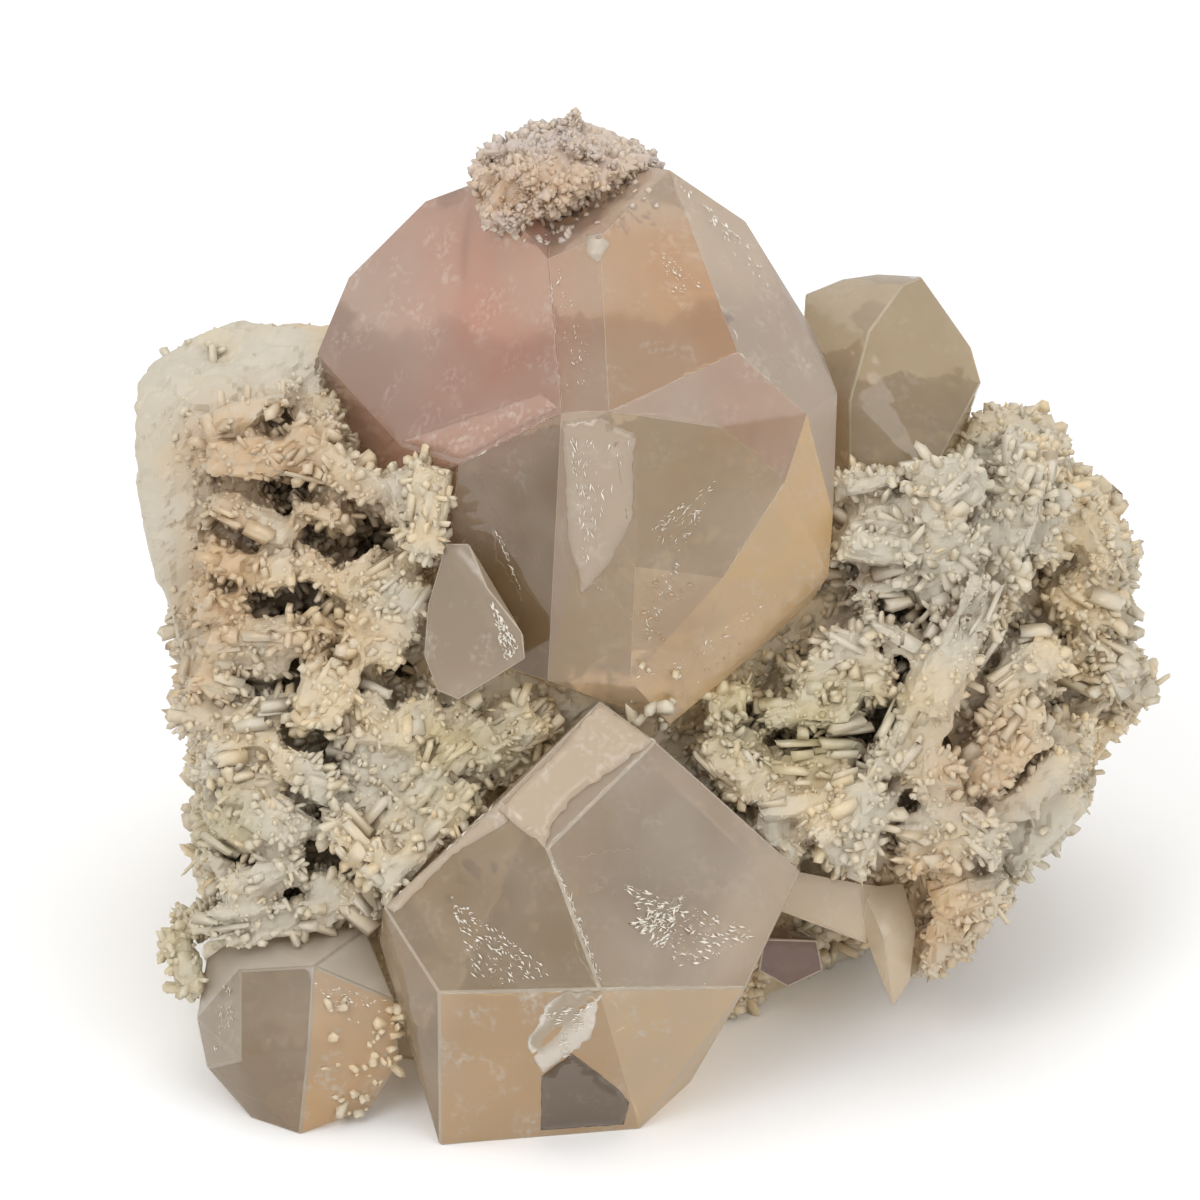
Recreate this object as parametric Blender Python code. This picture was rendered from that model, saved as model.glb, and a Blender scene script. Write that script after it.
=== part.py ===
"""Morganite on albite, one natural specimen, in metres with +Z up.

The specimen is described as it shows when looked at from 30 degrees above the table.
A place is (across, up, toward) in millimetres: across to the right, up the tilted
view plane, and toward the eye. seen() turns such a place into the part's own frame,
where the specimen rests on z = 0.
"""

import math
import random
from dataclasses import dataclass

import bmesh
import bpy
from mathutils import Matrix, Vector
from mathutils.bvhtree import BVHTree

MM = 0.001
VIEW_TILT = math.radians(30)
ORIGIN_ACROSS = 1.0
ORIGIN_DEPTH = 35.26

GAP = 0.3
SEAM_STEP = 0.25
FLAT_WITHIN = math.radians(0.6)
STOCK_SIZE = 400.0
TABLE_DEPTH = 60.0

PLATE_TAPER = 0.7
END_SLOPE = 0.1
THIN_PLATE = 2.6
PLATE_WANDER = 0.35
STRAND_SEED = 11
NUB_SEED = 23
BACK_SEED = 37


def seen(across, up, toward):
    """The point of the part that shows at this place of the tilted view."""
    depth = up * math.sin(VIEW_TILT) - toward * math.cos(VIEW_TILT)
    height = up * math.cos(VIEW_TILT) + toward * math.sin(VIEW_TILT)
    return Vector((across - ORIGIN_ACROSS, depth - ORIGIN_DEPTH, height)) * MM


def stood(across, depth, height):
    """The same frame's point given by its distance behind the foremost foot and its height."""
    return Vector((across - ORIGIN_ACROSS, depth - ORIGIN_DEPTH, height)) * MM


TOWARD = Vector((0.0, -math.cos(VIEW_TILT), math.sin(VIEW_TILT)))


def on_face(first, second, third, across, up):
    """The place at (across, up) on the flat face through three places."""
    a = Vector(first)
    normal = (Vector(second) - a).cross(Vector(third) - a)
    toward = a.z - (normal.x * (across - a.x) + normal.y * (up - a.y)) / normal.z
    return (across, up, toward)


def on_table(across, up):
    """The place where the table shows at (across, up)."""
    return (across, up, -up / math.tan(VIEW_TILT))


# The large crystal: a pink zone on the left and a clear, smoky zone grown together with it

APEX = (-7.8, 72.5, 15.0)
CRACK_START = (-3.1, 72.6, 15.4)
CRACK_END = (9.6, 78.5, 11.5)
SLIVER_TOP = (-4.0, 90.0, 8.6)
PINK_RIM = (-32.5, 78.8, -8.0)
PINK_EDGE = on_face(APEX, CRACK_START, SLIVER_TOP, -9.2, 87.8)
RIGHT_SHOULDER = (19.6, 74.5, 5.5)
RIGHT_CORNER = (16.5, 72.4, 9.5)
BAND_CORNER = (8.2, 71.0, 12.0)
PANEL_FOOT = (-0.5, 57.3, 10.2)
SMOKY_FOOT = (-9.2, 46.0, 5.4)
AMBER_CORNER = (19.2, 62.5, 3.5)


def pink_face(across, up):
    return on_face(APEX, PINK_EDGE, PINK_RIM, across, up)


def tan_face(across, up):
    return on_face(CRACK_START, SLIVER_TOP, CRACK_END, across, up)


def grey_face(across, up):
    return on_face(CRACK_START, BAND_CORNER, PANEL_FOOT, across, up)


TAN_TOP = tan_face(2.9, 96.8)
GREY_RIGHT = grey_face(14.4, 65.9)
GREY_LOW = grey_face(8.2, 56.2)
PINK_HEEL = pink_face(-18.0, 67.5)


def frosted_rim(across, up):
    return on_face(TAN_TOP, CRACK_END, RIGHT_SHOULDER, across, up)


def amber_face(across, up):
    return on_face(GREY_RIGHT, GREY_LOW, AMBER_CORNER, across, up)


def smoky_face(across, up):
    return on_face(APEX, PINK_HEEL, SMOKY_FOOT, across, up)


PINK_ZONE = (
    APEX,
    PINK_EDGE,
    PINK_RIM,
    PINK_HEEL,
    pink_face(-21.5, 94.0),
    pink_face(-23.8, 69.3),
    pink_face(-29.3, 86.5),
    pink_face(-15.5, 96.0),
    (-29.5, 71.0, -12.0),
    (-24.5, 65.0, -6.0),
    (-28.0, 84.0, -22.0),
    (-20.0, 90.0, -24.0),
    (-8.0, 94.0, -22.0),
    (-22.0, 64.0, -20.0),
    (-10.0, 98.5, -6.0),
    (-6.0, 60.0, -20.0),
    (-4.0, 90.0, 0.0),
)

CLEAR_ZONE = (
    (APEX[0], APEX[1], APEX[2] - SEAM_STEP),
    CRACK_START,
    (PINK_EDGE[0], PINK_EDGE[1], PINK_EDGE[2] - SEAM_STEP),
    SLIVER_TOP,
    TAN_TOP,
    CRACK_END,
    RIGHT_CORNER,
    BAND_CORNER,
    GREY_RIGHT,
    GREY_LOW,
    RIGHT_SHOULDER,
    frosted_rim(10.5, 91.8),
    AMBER_CORNER,
    (PINK_HEEL[0], PINK_HEEL[1], PINK_HEEL[2] - SEAM_STEP),
    PANEL_FOOT,
    amber_face(16.8, 53.5),
    amber_face(10.9, 48.2),
    amber_face(3.0, 41.6),
    SMOKY_FOOT,
    smoky_face(-19.0, 59.5),
    (18.8, 56.4, 1.5),
    (-1.0, 46.0, 6.0),
    (-14.0, 47.5, 3.8),
    (-19.0, 66.0, 0.0),
    (-18.0, 56.0, -14.0),
    (5.0, 96.0, -8.0),
    (-8.0, 99.0, -8.0),
    (13.5, 86.5, -4.0),
    (17.5, 80.5, 1.5),
    (8.0, 88.0, -24.0),
    (-10.0, 93.0, -24.0),
    (15.5, 74.0, -22.0),
    (14.0, 60.0, -20.0),
    (8.0, 50.0, -12.0),
    (0.0, 44.0, -10.0),
    (-12.0, 48.0, -16.0),
)

# The olive crystal behind on the right

BACK_CRYSTAL = (
    (26.5, 85.8, -8.5),
    (23.0, 81.0, -4.5),
    (21.0, 74.0, -2.5),
    (20.5, 86.5, -13.0),
    (24.0, 87.0, -13.0),
    (28.5, 86.7, -11.0),
    (33.5, 79.5, -10.0),
    (34.5, 76.0, -10.0),
    (29.0, 66.0, -3.0),
    (21.0, 66.0, -3.0),
    (16.8, 85.0, -13.0),
    (16.2, 76.0, -9.0),
    (18.0, 68.0, -6.0),
    (17.5, 82.0, -26.0),
    (27.0, 83.0, -27.0),
    (33.0, 74.0, -24.0),
    (30.0, 62.0, -20.0),
    (20.0, 60.0, -18.0),
)

# The smoky crystal in front, which the specimen partly stands on

FRONT_APEX = (-9.2, 29.5, 11.0)
FRONT_TOP = (1.5, 40.0, 6.8)
FRONT_KNEE = (-4.0, 15.5, 11.0)
FRONT_LEFT = (-20.0, 15.0, 6.6)


def front_right_face(across, up):
    return on_face(FRONT_APEX, FRONT_TOP, FRONT_KNEE, across, up)


def front_left_face(across, up):
    return on_face(FRONT_APEX, FRONT_KNEE, FRONT_LEFT, across, up)


FRONT_CRYSTAL = (
    FRONT_APEX,
    FRONT_TOP,
    FRONT_KNEE,
    FRONT_LEFT,
    (-4.0, 44.0, 6.1),
    (-14.0, 34.0, 10.1),
    front_right_face(16.0, 27.0),
    front_right_face(10.5, 15.5),
    front_left_face(-25.5, 23.5),
    (-26.0, 20.0, 2.0),
    on_table(-20.0, -0.5),
    on_table(-9.0, 0.5),
    on_table(0.0, 1.0),
    (5.0, 5.5, -4.0),
    (5.5, 9.0, 0.5),
    (-5.0, 42.0, -3.0),
    (2.0, 38.0, -3.0),
    (-26.0, 22.0, -3.0),
    (-22.0, 10.0, -12.0),
    on_table(-18.0, 10.0),
    on_table(0.0, 10.0),
    (13.0, 24.0, -10.0),
    (8.0, 14.0, -10.0),
)

# The smaller crystals

CORNER_CRYSTAL = (
    (-43.5, 18.0, -4.0),
    (-40.0, 20.5, -3.0),
    (-27.5, 21.0, -2.0),
    (-24.5, 14.0, 1.0),
    (-24.0, 8.0, 0.5),
    (-27.0, 3.0, -2.5),
    on_table(-34.0, 0.5),
    on_table(-39.0, 2.0),
    (-43.5, 7.0, -5.0),
    (-44.5, 12.0, -4.0),
    (-32.5, 17.5, 3.5),
    (-33.0, 9.0, 4.2),
    (-40.0, 17.0, 1.0),
    (-40.0, 8.0, 1.0),
    (-36.0, 22.0, -12.0),
    (-42.0, 12.0, -14.0),
    (-30.0, 20.0, -12.0),
    (-26.0, 12.0, -10.0),
    on_table(-36.0, 6.0),
)

TOOTH_CRYSTAL = (
    (22.5, 25.0, -6.0),
    (26.5, 25.5, -7.0),
    (27.8, 21.0, -7.0),
    (27.2, 15.5, -8.0),
    (25.5, 13.0, -8.5),
    (23.5, 18.0, -6.5),
    (22.2, 22.0, -6.0),
    (24.5, 20.0, -4.5),
    (25.5, 24.0, -12.0),
    (26.0, 17.0, -11.0),
)

TOOTH_PLATE = (
    (14.5, 27.0, -3.0),
    (22.0, 25.5, -4.5),
    (25.5, 25.0, -8.0),
    (22.8, 19.4, -6.5),
    (18.5, 21.5, -5.0),
    (13.5, 23.0, -4.5),
    (14.5, 26.0, -9.0),
    (22.5, 24.5, -10.5),
    (21.5, 20.5, -9.5),
)

SIDE_PLATE = (
    (-19.3, 59.6, 8.0),
    (-17.0, 59.6, 8.5),
    (-15.2, 55.2, 10.0),
    (-11.7, 50.8, 9.5),
    (-11.4, 48.2, 9.0),
    (-15.8, 46.4, 8.5),
    (-18.1, 44.1, 7.5),
    (-20.2, 45.0, 6.5),
    (-21.5, 48.5, 6.0),
    (-21.1, 53.5, 6.5),
    (-19.0, 58.0, 4.0),
    (-14.0, 52.0, 6.0),
    (-13.0, 48.0, 5.0),
    (-18.0, 45.0, 3.5),
    (-20.5, 50.0, 3.0),
)

FOOT_CRYSTAL = (
    (12.5, 19.8, -10.0),
    (18.0, 19.6, -11.0),
    (18.6, 16.5, -12.0),
    (15.0, 14.8, -12.0),
    (12.0, 16.5, -11.0),
    (13.0, 21.0, -17.0),
    (18.0, 20.0, -18.0),
    (15.0, 17.0, -18.0),
)

DRUSE_CAP = (
    (-16.5, 95.0, 2.0),
    (-16.5, 98.5, -1.0),
    (-14.0, 100.0, -3.0),
    (-8.0, 102.7, -5.0),
    (-5.5, 102.0, -5.0),
    (-4.0, 100.5, -2.0),
    (0.0, 99.3, -3.0),
    (2.0, 97.5, 2.0),
    (-4.0, 96.0, 9.0),
    (-9.5, 94.5, 9.0),
    (-12.0, 91.0, 7.5),
    (-16.0, 92.5, 3.5),
    (-15.0, 96.0, -14.0),
    (-6.0, 100.0, -16.0),
    (1.0, 96.0, -14.0),
)

# The albite: rounded-off lumps that carry everything, with plates grown out of them

LEFT_BLOCK = (
    (-51.0, 76.0, -10.0),
    (-49.0, 78.5, -12.0),
    (-43.5, 81.8, -14.0),
    (-40.5, 82.8, -15.0),
    (-37.5, 81.5, -13.0),
    (-31.0, 82.0, -14.0),
    (-51.0, 70.0, -7.0),
    (-50.5, 66.0, -6.5),
    (-49.0, 60.0, -6.0),
    (-46.0, 52.0, -5.5),
    (-45.5, 44.0, -6.0),
    (-30.0, 70.0, -4.0),
    (-44.0, 72.0, -3.5),
    (-47.0, 74.0, -28.0),
    (-30.0, 78.0, -30.0),
    (-26.0, 60.0, -36.0),
    (-44.0, 52.0, -34.0),
    (-42.0, 34.0, -30.0),
)

LEFT_MASS = (
    (-45.0, 62.0, -6.0),
    (-44.5, 50.0, -4.5),
    (-44.0, 36.0, -4.5),
    (-43.0, 26.0, -5.0),
    (-38.0, 23.0, -5.0),
    (-22.0, 26.0, -4.0),
    (-18.0, 42.0, -2.5),
    (-22.0, 58.0, -4.0),
    (-30.0, 66.0, -5.0),
    (-40.0, 30.0, -30.0),
    (-10.0, 40.0, -34.0),
    (-20.0, 60.0, -30.0),
)

MIDDLE_MASS = (
    (-22.0, 45.0, -1.0),
    (0.0, 42.0, -3.0),
    (12.0, 44.0, -6.0),
    (18.0, 60.0, -8.0),
    (20.0, 66.0, -22.0),
    (-18.0, 62.0, -24.0),
    (-20.0, 26.0, -8.0),
    (8.0, 26.0, -8.0),
    (-24.0, 62.0, -36.0),
    (20.0, 64.0, -38.0),
    (10.0, 40.0, -44.0),
    (-20.0, 40.0, -40.0),
)

RIGHT_MASS = (
    (18.0, 62.0, -9.0),
    (22.0, 65.0, -8.0),
    (34.0, 73.0, -14.0),
    (39.0, 74.0, -15.0),
    (42.0, 71.0, -15.0),
    (46.0, 65.0, -15.0),
    (49.5, 57.0, -16.0),
    (50.5, 50.0, -16.0),
    (49.5, 44.0, -17.0),
    (44.0, 37.0, -16.0),
    (41.0, 29.0, -17.0),
    (35.0, 25.0, -15.0),
    (24.0, 32.0, -7.5),
    (10.0, 34.0, -7.0),
    (10.0, 44.0, -7.0),
    (24.0, 56.0, -6.5),
    (34.0, 58.0, -8.0),
    (46.0, 60.0, -36.0),
    (36.0, 70.0, -34.0),
    (20.0, 66.0, -36.0),
    (12.0, 40.0, -40.0),
    (44.0, 42.0, -36.0),
)

RIGHT_SKIRT = (
    (13.0, 32.0, -5.0),
    (14.0, 27.0, -7.0),
    (22.0, 26.0, -8.0),
    (27.5, 17.0, -11.0),
    (31.0, 15.8, -14.0),
    (35.5, 24.0, -16.0),
    (40.0, 30.0, -14.0),
    (28.0, 34.0, -5.0),
    (14.0, 30.0, -24.0),
    (34.0, 32.0, -34.0),
)

ROOT = (
    (-41.0, 17.0, 0.0),
    (-20.0, 14.0, 0.0),
    (4.0, 18.0, 0.0),
    (12.0, 36.0, 0.0),
    (26.0, 38.0, 0.0),
    (34.0, 50.0, 0.0),
    (29.0, 63.0, 0.0),
    (-6.0, 66.0, 0.0),
    (-30.0, 64.0, 0.0),
    (-43.0, 50.0, 0.0),
    (-43.0, 22.0, 22.0),
    (-20.0, 16.0, 20.0),
    (8.0, 22.0, 22.0),
    (18.0, 38.0, 22.0),
    (34.0, 40.0, 24.0),
    (42.0, 50.0, 26.0),
    (33.0, 67.0, 18.0),
    (0.0, 69.0, 12.0),
    (-32.0, 68.0, 20.0),
    (-47.0, 54.0, 24.0),
)

BACK_MASS = (
    (-44.0, 60.0, 12.0),
    (-40.0, 67.0, 22.0),
    (-18.0, 70.5, 18.0),
    (6.0, 69.0, 12.0),
    (28.0, 68.0, 16.0),
    (40.0, 59.0, 20.0),
    (44.0, 48.0, 30.0),
    (-46.0, 50.0, 30.0),
    (-38.0, 66.0, 44.0),
    (-27.0, 68.0, 50.0),
    (-6.0, 67.0, 42.0),
    (14.0, 66.0, 40.0),
    (35.0, 62.0, 48.0),
    (20.0, 58.0, 53.0),
    (-30.0, 60.0, 56.0),
    (0.0, 52.0, 46.0),
)

HOLLOWS = (
    (-35.5, 65.0, 3.2, 1.6, 8.0),
    (-26.5, 59.5, 3.8, 2.6, 9.0),
    (-35.0, 52.5, 4.0, 1.8, 8.0),
    (-24.5, 47.0, 2.6, 1.8, 7.0),
    (-37.0, 31.0, 3.0, 2.6, 7.0),
    (23.0, 56.6, 5.0, 1.2, 8.0),
    (30.5, 52.5, 4.2, 1.8, 8.0),
    (20.0, 40.5, 5.5, 1.6, 8.0),
    (33.5, 33.5, 4.0, 1.4, 7.0),
    (21.0, 30.0, 2.5, 1.2, 6.0),
)


@dataclass(frozen=True)
class Plate:
    """An albite plate seen edge on, in millimetres: its two ends, how far out it stands,
    how thick it is, how deep it is rooted and how many thinner plates grow beside it."""

    ends: tuple
    toward: float
    thick: float
    deep: float = 11.0
    beside: int = 1


PLATES = (
    Plate((-44.0, 68.5, -28.5, 66.0), 3.0, 3.2),
    Plate((-43.5, 71.5, -34.0, 74.5), 1.5, 3.0),
    Plate((-35.5, 71.5, -29.5, 67.5), 3.5, 3.0),
    Plate((-31.0, 67.0, -25.5, 64.0), 4.0, 4.5),
    Plate((-43.5, 64.0, -34.0, 60.0), 2.5, 3.0),
    Plate((-34.5, 64.0, -29.5, 62.0), 3.0, 2.5),
    Plate((-34.0, 58.5, -29.0, 54.0), 3.5, 2.5),
    Plate((-29.5, 54.5, -22.5, 59.5), 4.0, 3.0),
    Plate((-21.5, 58.0, -20.0, 68.0), 8.0, 4.2, 7.0),
    Plate((-44.0, 59.0, -35.5, 56.0), 2.0, 4.0),
    Plate((-38.5, 56.5, -34.5, 57.0), 4.0, 3.5),
    Plate((-44.0, 50.0, -29.5, 50.5), 3.0, 2.2),
    Plate((-44.0, 53.0, -38.5, 53.5), 2.0, 3.0),
    Plate((-34.0, 40.0, -29.0, 48.0), 4.5, 3.2),
    Plate((-29.0, 48.0, -22.5, 56.5), 5.0, 4.5),
    Plate((-29.5, 52.0, -23.0, 50.0), 4.5, 4.0),
    Plate((-44.5, 47.0, -40.0, 45.0), 1.5, 3.5),
    Plate((-45.5, 43.0, -41.5, 41.5), 1.0, 2.5),
    Plate((-41.0, 42.5, -33.0, 44.0), 2.0, 2.2),
    Plate((-40.5, 48.0, -35.0, 47.5), 1.0, 3.0),
    Plate((-44.0, 39.0, -35.0, 40.5), 2.0, 2.2),
    Plate((-44.5, 36.5, -36.0, 37.0), 1.5, 2.0),
    Plate((-42.0, 34.5, -35.0, 36.0), 2.5, 2.5),
    Plate((-37.0, 39.5, -29.5, 34.0), 4.5, 2.5),
    Plate((-31.5, 32.5, -23.0, 25.0), 6.0, 4.0, 10.0, 0),
    Plate((-26.5, 29.5, -14.0, 43.5), 4.5, 3.5, 10.0),
    Plate((-23.5, 26.5, -16.0, 35.0), 6.0, 2.8),
    Plate((-18.0, 37.0, -9.5, 43.0), 3.5, 4.5),
    Plate((-29.5, 33.5, -22.0, 32.5), 3.0, 4.0),
    Plate((-30.0, 38.0, -22.0, 36.0), 3.0, 3.0),
    Plate((-31.0, 40.5, -23.0, 39.0), 2.5, 2.5),
    Plate((-23.5, 44.0, -23.5, 39.0), 3.5, 1.8),
    Plate((-21.2, 45.0, -20.5, 39.0), 3.5, 2.0),
    Plate((-29.5, 44.0, -25.5, 42.0), 3.0, 4.0),
    Plate((-39.0, 34.0, -33.0, 30.0), 4.0, 3.5),
    Plate((-42.5, 32.5, -35.0, 28.0), 1.5, 4.0),
    Plate((-42.5, 25.0, -34.0, 27.5), 2.5, 2.5),
    Plate((-46.5, 21.0, -30.0, 23.0), 1.0, 2.5),
    Plate((-46.8, 20.5, -44.2, 14.5), -2.0, 2.4, 6.0, 0),
    Plate((-34.0, 26.0, -24.0, 23.0), 1.0, 3.0),
    Plate((-28.5, 25.0, -24.5, 21.5), 2.0, 3.0),
    Plate((19.0, 65.0, 26.0, 66.0), 2.0, 2.8),
    Plate((25.5, 66.2, 34.5, 66.5), 1.5, 2.5),
    Plate((30.0, 63.0, 33.0, 66.0), 3.0, 4.0),
    Plate((22.0, 62.5, 28.5, 64.0), 1.0, 2.5),
    Plate((19.0, 59.5, 27.5, 58.5), 3.0, 3.2),
    Plate((20.5, 61.5, 26.5, 60.5), 1.5, 2.0),
    Plate((27.0, 61.0, 34.5, 58.0), 2.0, 4.0),
    Plate((21.0, 54.5, 29.5, 56.5), 1.5, 3.0),
    Plate((27.0, 54.0, 34.0, 56.0), 1.0, 3.5),
    Plate((40.0, 70.0, 34.5, 54.0), -1.0, 5.0, 10.0, 2),
    Plate((35.0, 56.0, 24.0, 35.0), 2.5, 6.0, 12.0, 0),
    Plate((23.5, 36.0, 20.0, 27.0), 1.5, 5.0, 10.0, 0),
    Plate((22.0, 52.5, 28.5, 49.0), 2.0, 2.5),
    Plate((18.5, 50.0, 23.5, 48.0), 1.5, 2.5),
    Plate((15.0, 46.0, 26.0, 46.5), 1.5, 3.0),
    Plate((6.0, 43.5, 12.0, 45.0), 1.0, 4.0),
    Plate((12.0, 42.0, 23.0, 43.0), 2.0, 3.0),
    Plate((6.0, 40.5, 12.0, 35.0), 2.0, 4.0),
    Plate((12.0, 37.5, 22.0, 38.5), 1.5, 3.0),
    Plate((12.0, 33.0, 23.0, 35.5), 2.5, 3.2),
    Plate((11.0, 32.0, 16.0, 27.5), 1.5, 2.5),
    Plate((16.5, 30.0, 21.0, 34.0), 2.5, 3.5),
    Plate((28.5, 35.0, 36.0, 29.0), 1.0, 2.5),
    Plate((25.5, 32.5, 32.5, 29.0), 0.5, 2.5),
    Plate((26.5, 36.5, 32.0, 37.5), 2.5, 3.0),
    Plate((32.0, 36.0, 40.0, 44.0), 0.0, 6.0, 10.0, 2),
    Plate((36.0, 48.0, 42.0, 49.0), -2.0, 4.0),
    Plate((35.0, 44.0, 40.5, 48.0), -0.5, 3.0),
    Plate((32.0, 32.0, 40.0, 34.0), -3.0, 3.0),
    Plate((36.0, 27.5, 43.5, 35.5), -6.0, 6.0, 12.0, 0),
    Plate((26.5, 28.0, 33.5, 29.0), 0.0, 3.0),
    Plate((29.0, 24.0, 37.0, 25.0), -3.0, 3.5),
    Plate((29.0, 21.0, 34.0, 21.0), -5.0, 3.0),
    Plate((29.0, 15.8, 30.5, 21.0), -6.0, 2.5, 8.0),
    Plate((43.0, 63.0, 48.0, 56.0), -9.0, 4.5),
    Plate((42.0, 56.0, 49.0, 52.0), -9.0, 4.5),
    Plate((43.0, 50.0, 49.5, 45.0), -9.0, 4.5),
    Plate((38.0, 62.0, 44.0, 60.0), -6.0, 4.0),
    Plate((40.0, 41.0, 46.0, 40.0), -7.0, 4.0),
)

BACK_PLATES = 32
BACK_FROM = math.radians(-15)
BACK_TO = math.radians(165)
BACK_LOW = 6.0
BACK_HIGH = 58.0
BACK_AXIS = (0.0, 42.0)

CAP_NUBS = 24
RIM_NUBS = 26
RIM_REGION = (40.0, 50.0, 38.0, 70.0)
CAP_REGION = (-16.0, 1.0, 91.0, 102.0)


def build_hull(name, points):
    """A closed convex body with flat faces round these points."""
    shape = bmesh.new()
    for point in points:
        shape.verts.new(point)
    bmesh.ops.convex_hull(shape, input=shape.verts)
    loose = [vert for vert in shape.verts if not vert.link_faces]
    bmesh.ops.delete(shape, geom=loose, context="VERTS")
    bmesh.ops.dissolve_limit(
        shape, angle_limit=FLAT_WITHIN, verts=shape.verts, edges=shape.edges
    )
    bmesh.ops.recalc_face_normals(shape, faces=shape.faces)
    return add_object(name, shape)


def add_object(name, shape):
    """Put a finished shape into the scene under this name."""
    mesh = bpy.data.meshes.new(name)
    shape.to_mesh(mesh)
    shape.free()
    made = bpy.data.objects.new(name, mesh)
    bpy.context.scene.collection.objects.link(made)
    return made


def build_grown(hull, by):
    """The crystal with every face moved out by a gap, to cut what it grows through."""
    centre = sum((vert.co for vert in hull.data.vertices), Vector()) / len(hull.data.vertices)
    shape = bmesh.new()
    bmesh.ops.create_cube(shape, size=STOCK_SIZE * MM, matrix=Matrix.Translation(centre))
    for face in hull.data.polygons:
        cut = bmesh.ops.bisect_plane(
            shape,
            geom=shape.verts[:] + shape.edges[:] + shape.faces[:],
            dist=1e-8,
            plane_co=face.center + face.normal * by * MM,
            plane_no=face.normal,
            clear_outer=True,
        )
        rim = [item for item in cut["geom_cut"] if isinstance(item, bmesh.types.BMEdge)]
        if len(rim) > 2:
            bmesh.ops.edgeloop_fill(shape, edges=rim)
    bmesh.ops.recalc_face_normals(shape, faces=shape.faces)
    return add_object(hull.name + "_grown", shape)


def hide(helper):
    """Keep a cutter or a joined-in shape out of the finished specimen."""
    helper.hide_render = True
    helper.display_type = "WIRE"


def combine(target, helpers, operation):
    """Join helpers into the target, or cut them out of it, in one exact Boolean."""
    if not helpers:
        return
    group = bpy.data.collections.new(target.name + "_" + operation.lower())
    for helper in helpers:
        group.objects.link(helper)
        hide(helper)
    boolean = target.modifiers.new(operation.title(), "BOOLEAN")
    boolean.operation = operation
    boolean.operand_type = "COLLECTION"
    boolean.collection = group
    boolean.solver = "EXACT"


def settle(target):
    """Fix the Boolean's result in the mesh and drop the crumbs that its cuts set loose."""
    graph = bpy.context.evaluated_depsgraph_get()
    mesh = bpy.data.meshes.new_from_object(target.evaluated_get(graph))
    target.modifiers.clear()
    target.data = mesh
    shape = bmesh.new()
    shape.from_mesh(mesh)
    bmesh.ops.dissolve_degenerate(shape, dist=2e-6, edges=shape.edges)
    islands = connected_parts(shape)
    islands.sort(key=len)
    crumbs = [vert for island in islands[:-1] for vert in island]
    bmesh.ops.delete(shape, geom=crumbs, context="VERTS")
    bmesh.ops.triangulate(shape, faces=shape.faces)
    shape.to_mesh(mesh)
    shape.free()


def connected_parts(shape):
    """The lists of vertices that hang together."""
    left = set(shape.verts)
    islands = []
    while left:
        island = [left.pop()]
        for vert in island:
            for edge in vert.link_edges:
                other = edge.other_vert(vert)
                if other in left:
                    left.remove(other)
                    island.append(other)
        islands.append(island)
    return islands


def give_material(target, colour, roughness, clear=0.0):
    """A plain material of the piece's own."""
    material = bpy.data.materials.new(target.name)
    material.use_nodes = True
    shader = material.node_tree.nodes["Principled BSDF"]
    shader.inputs["Base Color"].default_value = (*colour, 1.0)
    shader.inputs["Roughness"].default_value = roughness
    shader.inputs["Metallic"].default_value = 0.0
    shader.inputs["Transmission Weight"].default_value = clear
    material.diffuse_color = (*colour, 1.0)
    target.data.materials.clear()
    target.data.materials.append(material)


def plate_points(start, end, outward, thick, deep, wander):
    """The eight corners of one plate: a blunt wedge that narrows to its outer edge."""
    along = end - start
    side = along.cross(outward).normalized() * thick * MM / 2
    corners = []
    for base, inward in ((start, along), (end, -along)):
        for flank in (-1, 1):
            for rise, scale, inset in ((0.0, PLATE_TAPER, END_SLOPE), (-deep, 1.15, -0.04)):
                drift = Vector([wander.uniform(-1, 1) for _ in range(3)]) * PLATE_WANDER
                corner = base + inward * inset + side * flank * scale
                corners.append(corner + (outward * rise + drift) * MM)
    return corners


def build_plates():
    """Every plate of the front, each with the thinner plates that grow beside it."""
    wander = random.Random(STRAND_SEED)
    made = []
    for index, plate in enumerate(PLATES):
        x0, y0, x1, y1 = plate.ends
        start = seen(x0, y0, plate.toward)
        end = seen(x1, y1, plate.toward)
        points = plate_points(start, end, TOWARD, plate.thick, plate.deep, wander)
        made.append(build_hull(f"plate_{index}", points))
        along = end - start
        side = along.cross(TOWARD).normalized() * plate.thick * MM
        for strand in range(plate.beside if plate.thick > THIN_PLATE else 0):
            flank = 1 if (index + strand) % 2 else -1
            shift = side * flank * wander.uniform(0.75, 1.0)
            shift -= TOWARD * wander.uniform(1.5, 3.2) * MM
            first = start + along * wander.uniform(0.0, 0.3) + shift
            last = end - along * wander.uniform(0.0, 0.3) + shift
            thick = plate.thick * wander.uniform(0.45, 0.65)
            points = plate_points(first, last, TOWARD, thick, plate.deep * 0.8, wander)
            made.append(build_hull(f"plate_{index}_{strand}", points))
    return made


def surface_of(hulls):
    """One search tree over several hulls."""
    points, faces = [], []
    for hull in hulls:
        first = len(points)
        points.extend(vert.co.copy() for vert in hull.data.vertices)
        faces.extend([first + index for index in face.vertices] for face in hull.data.polygons)
    return BVHTree.FromPolygons(points, faces)


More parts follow.
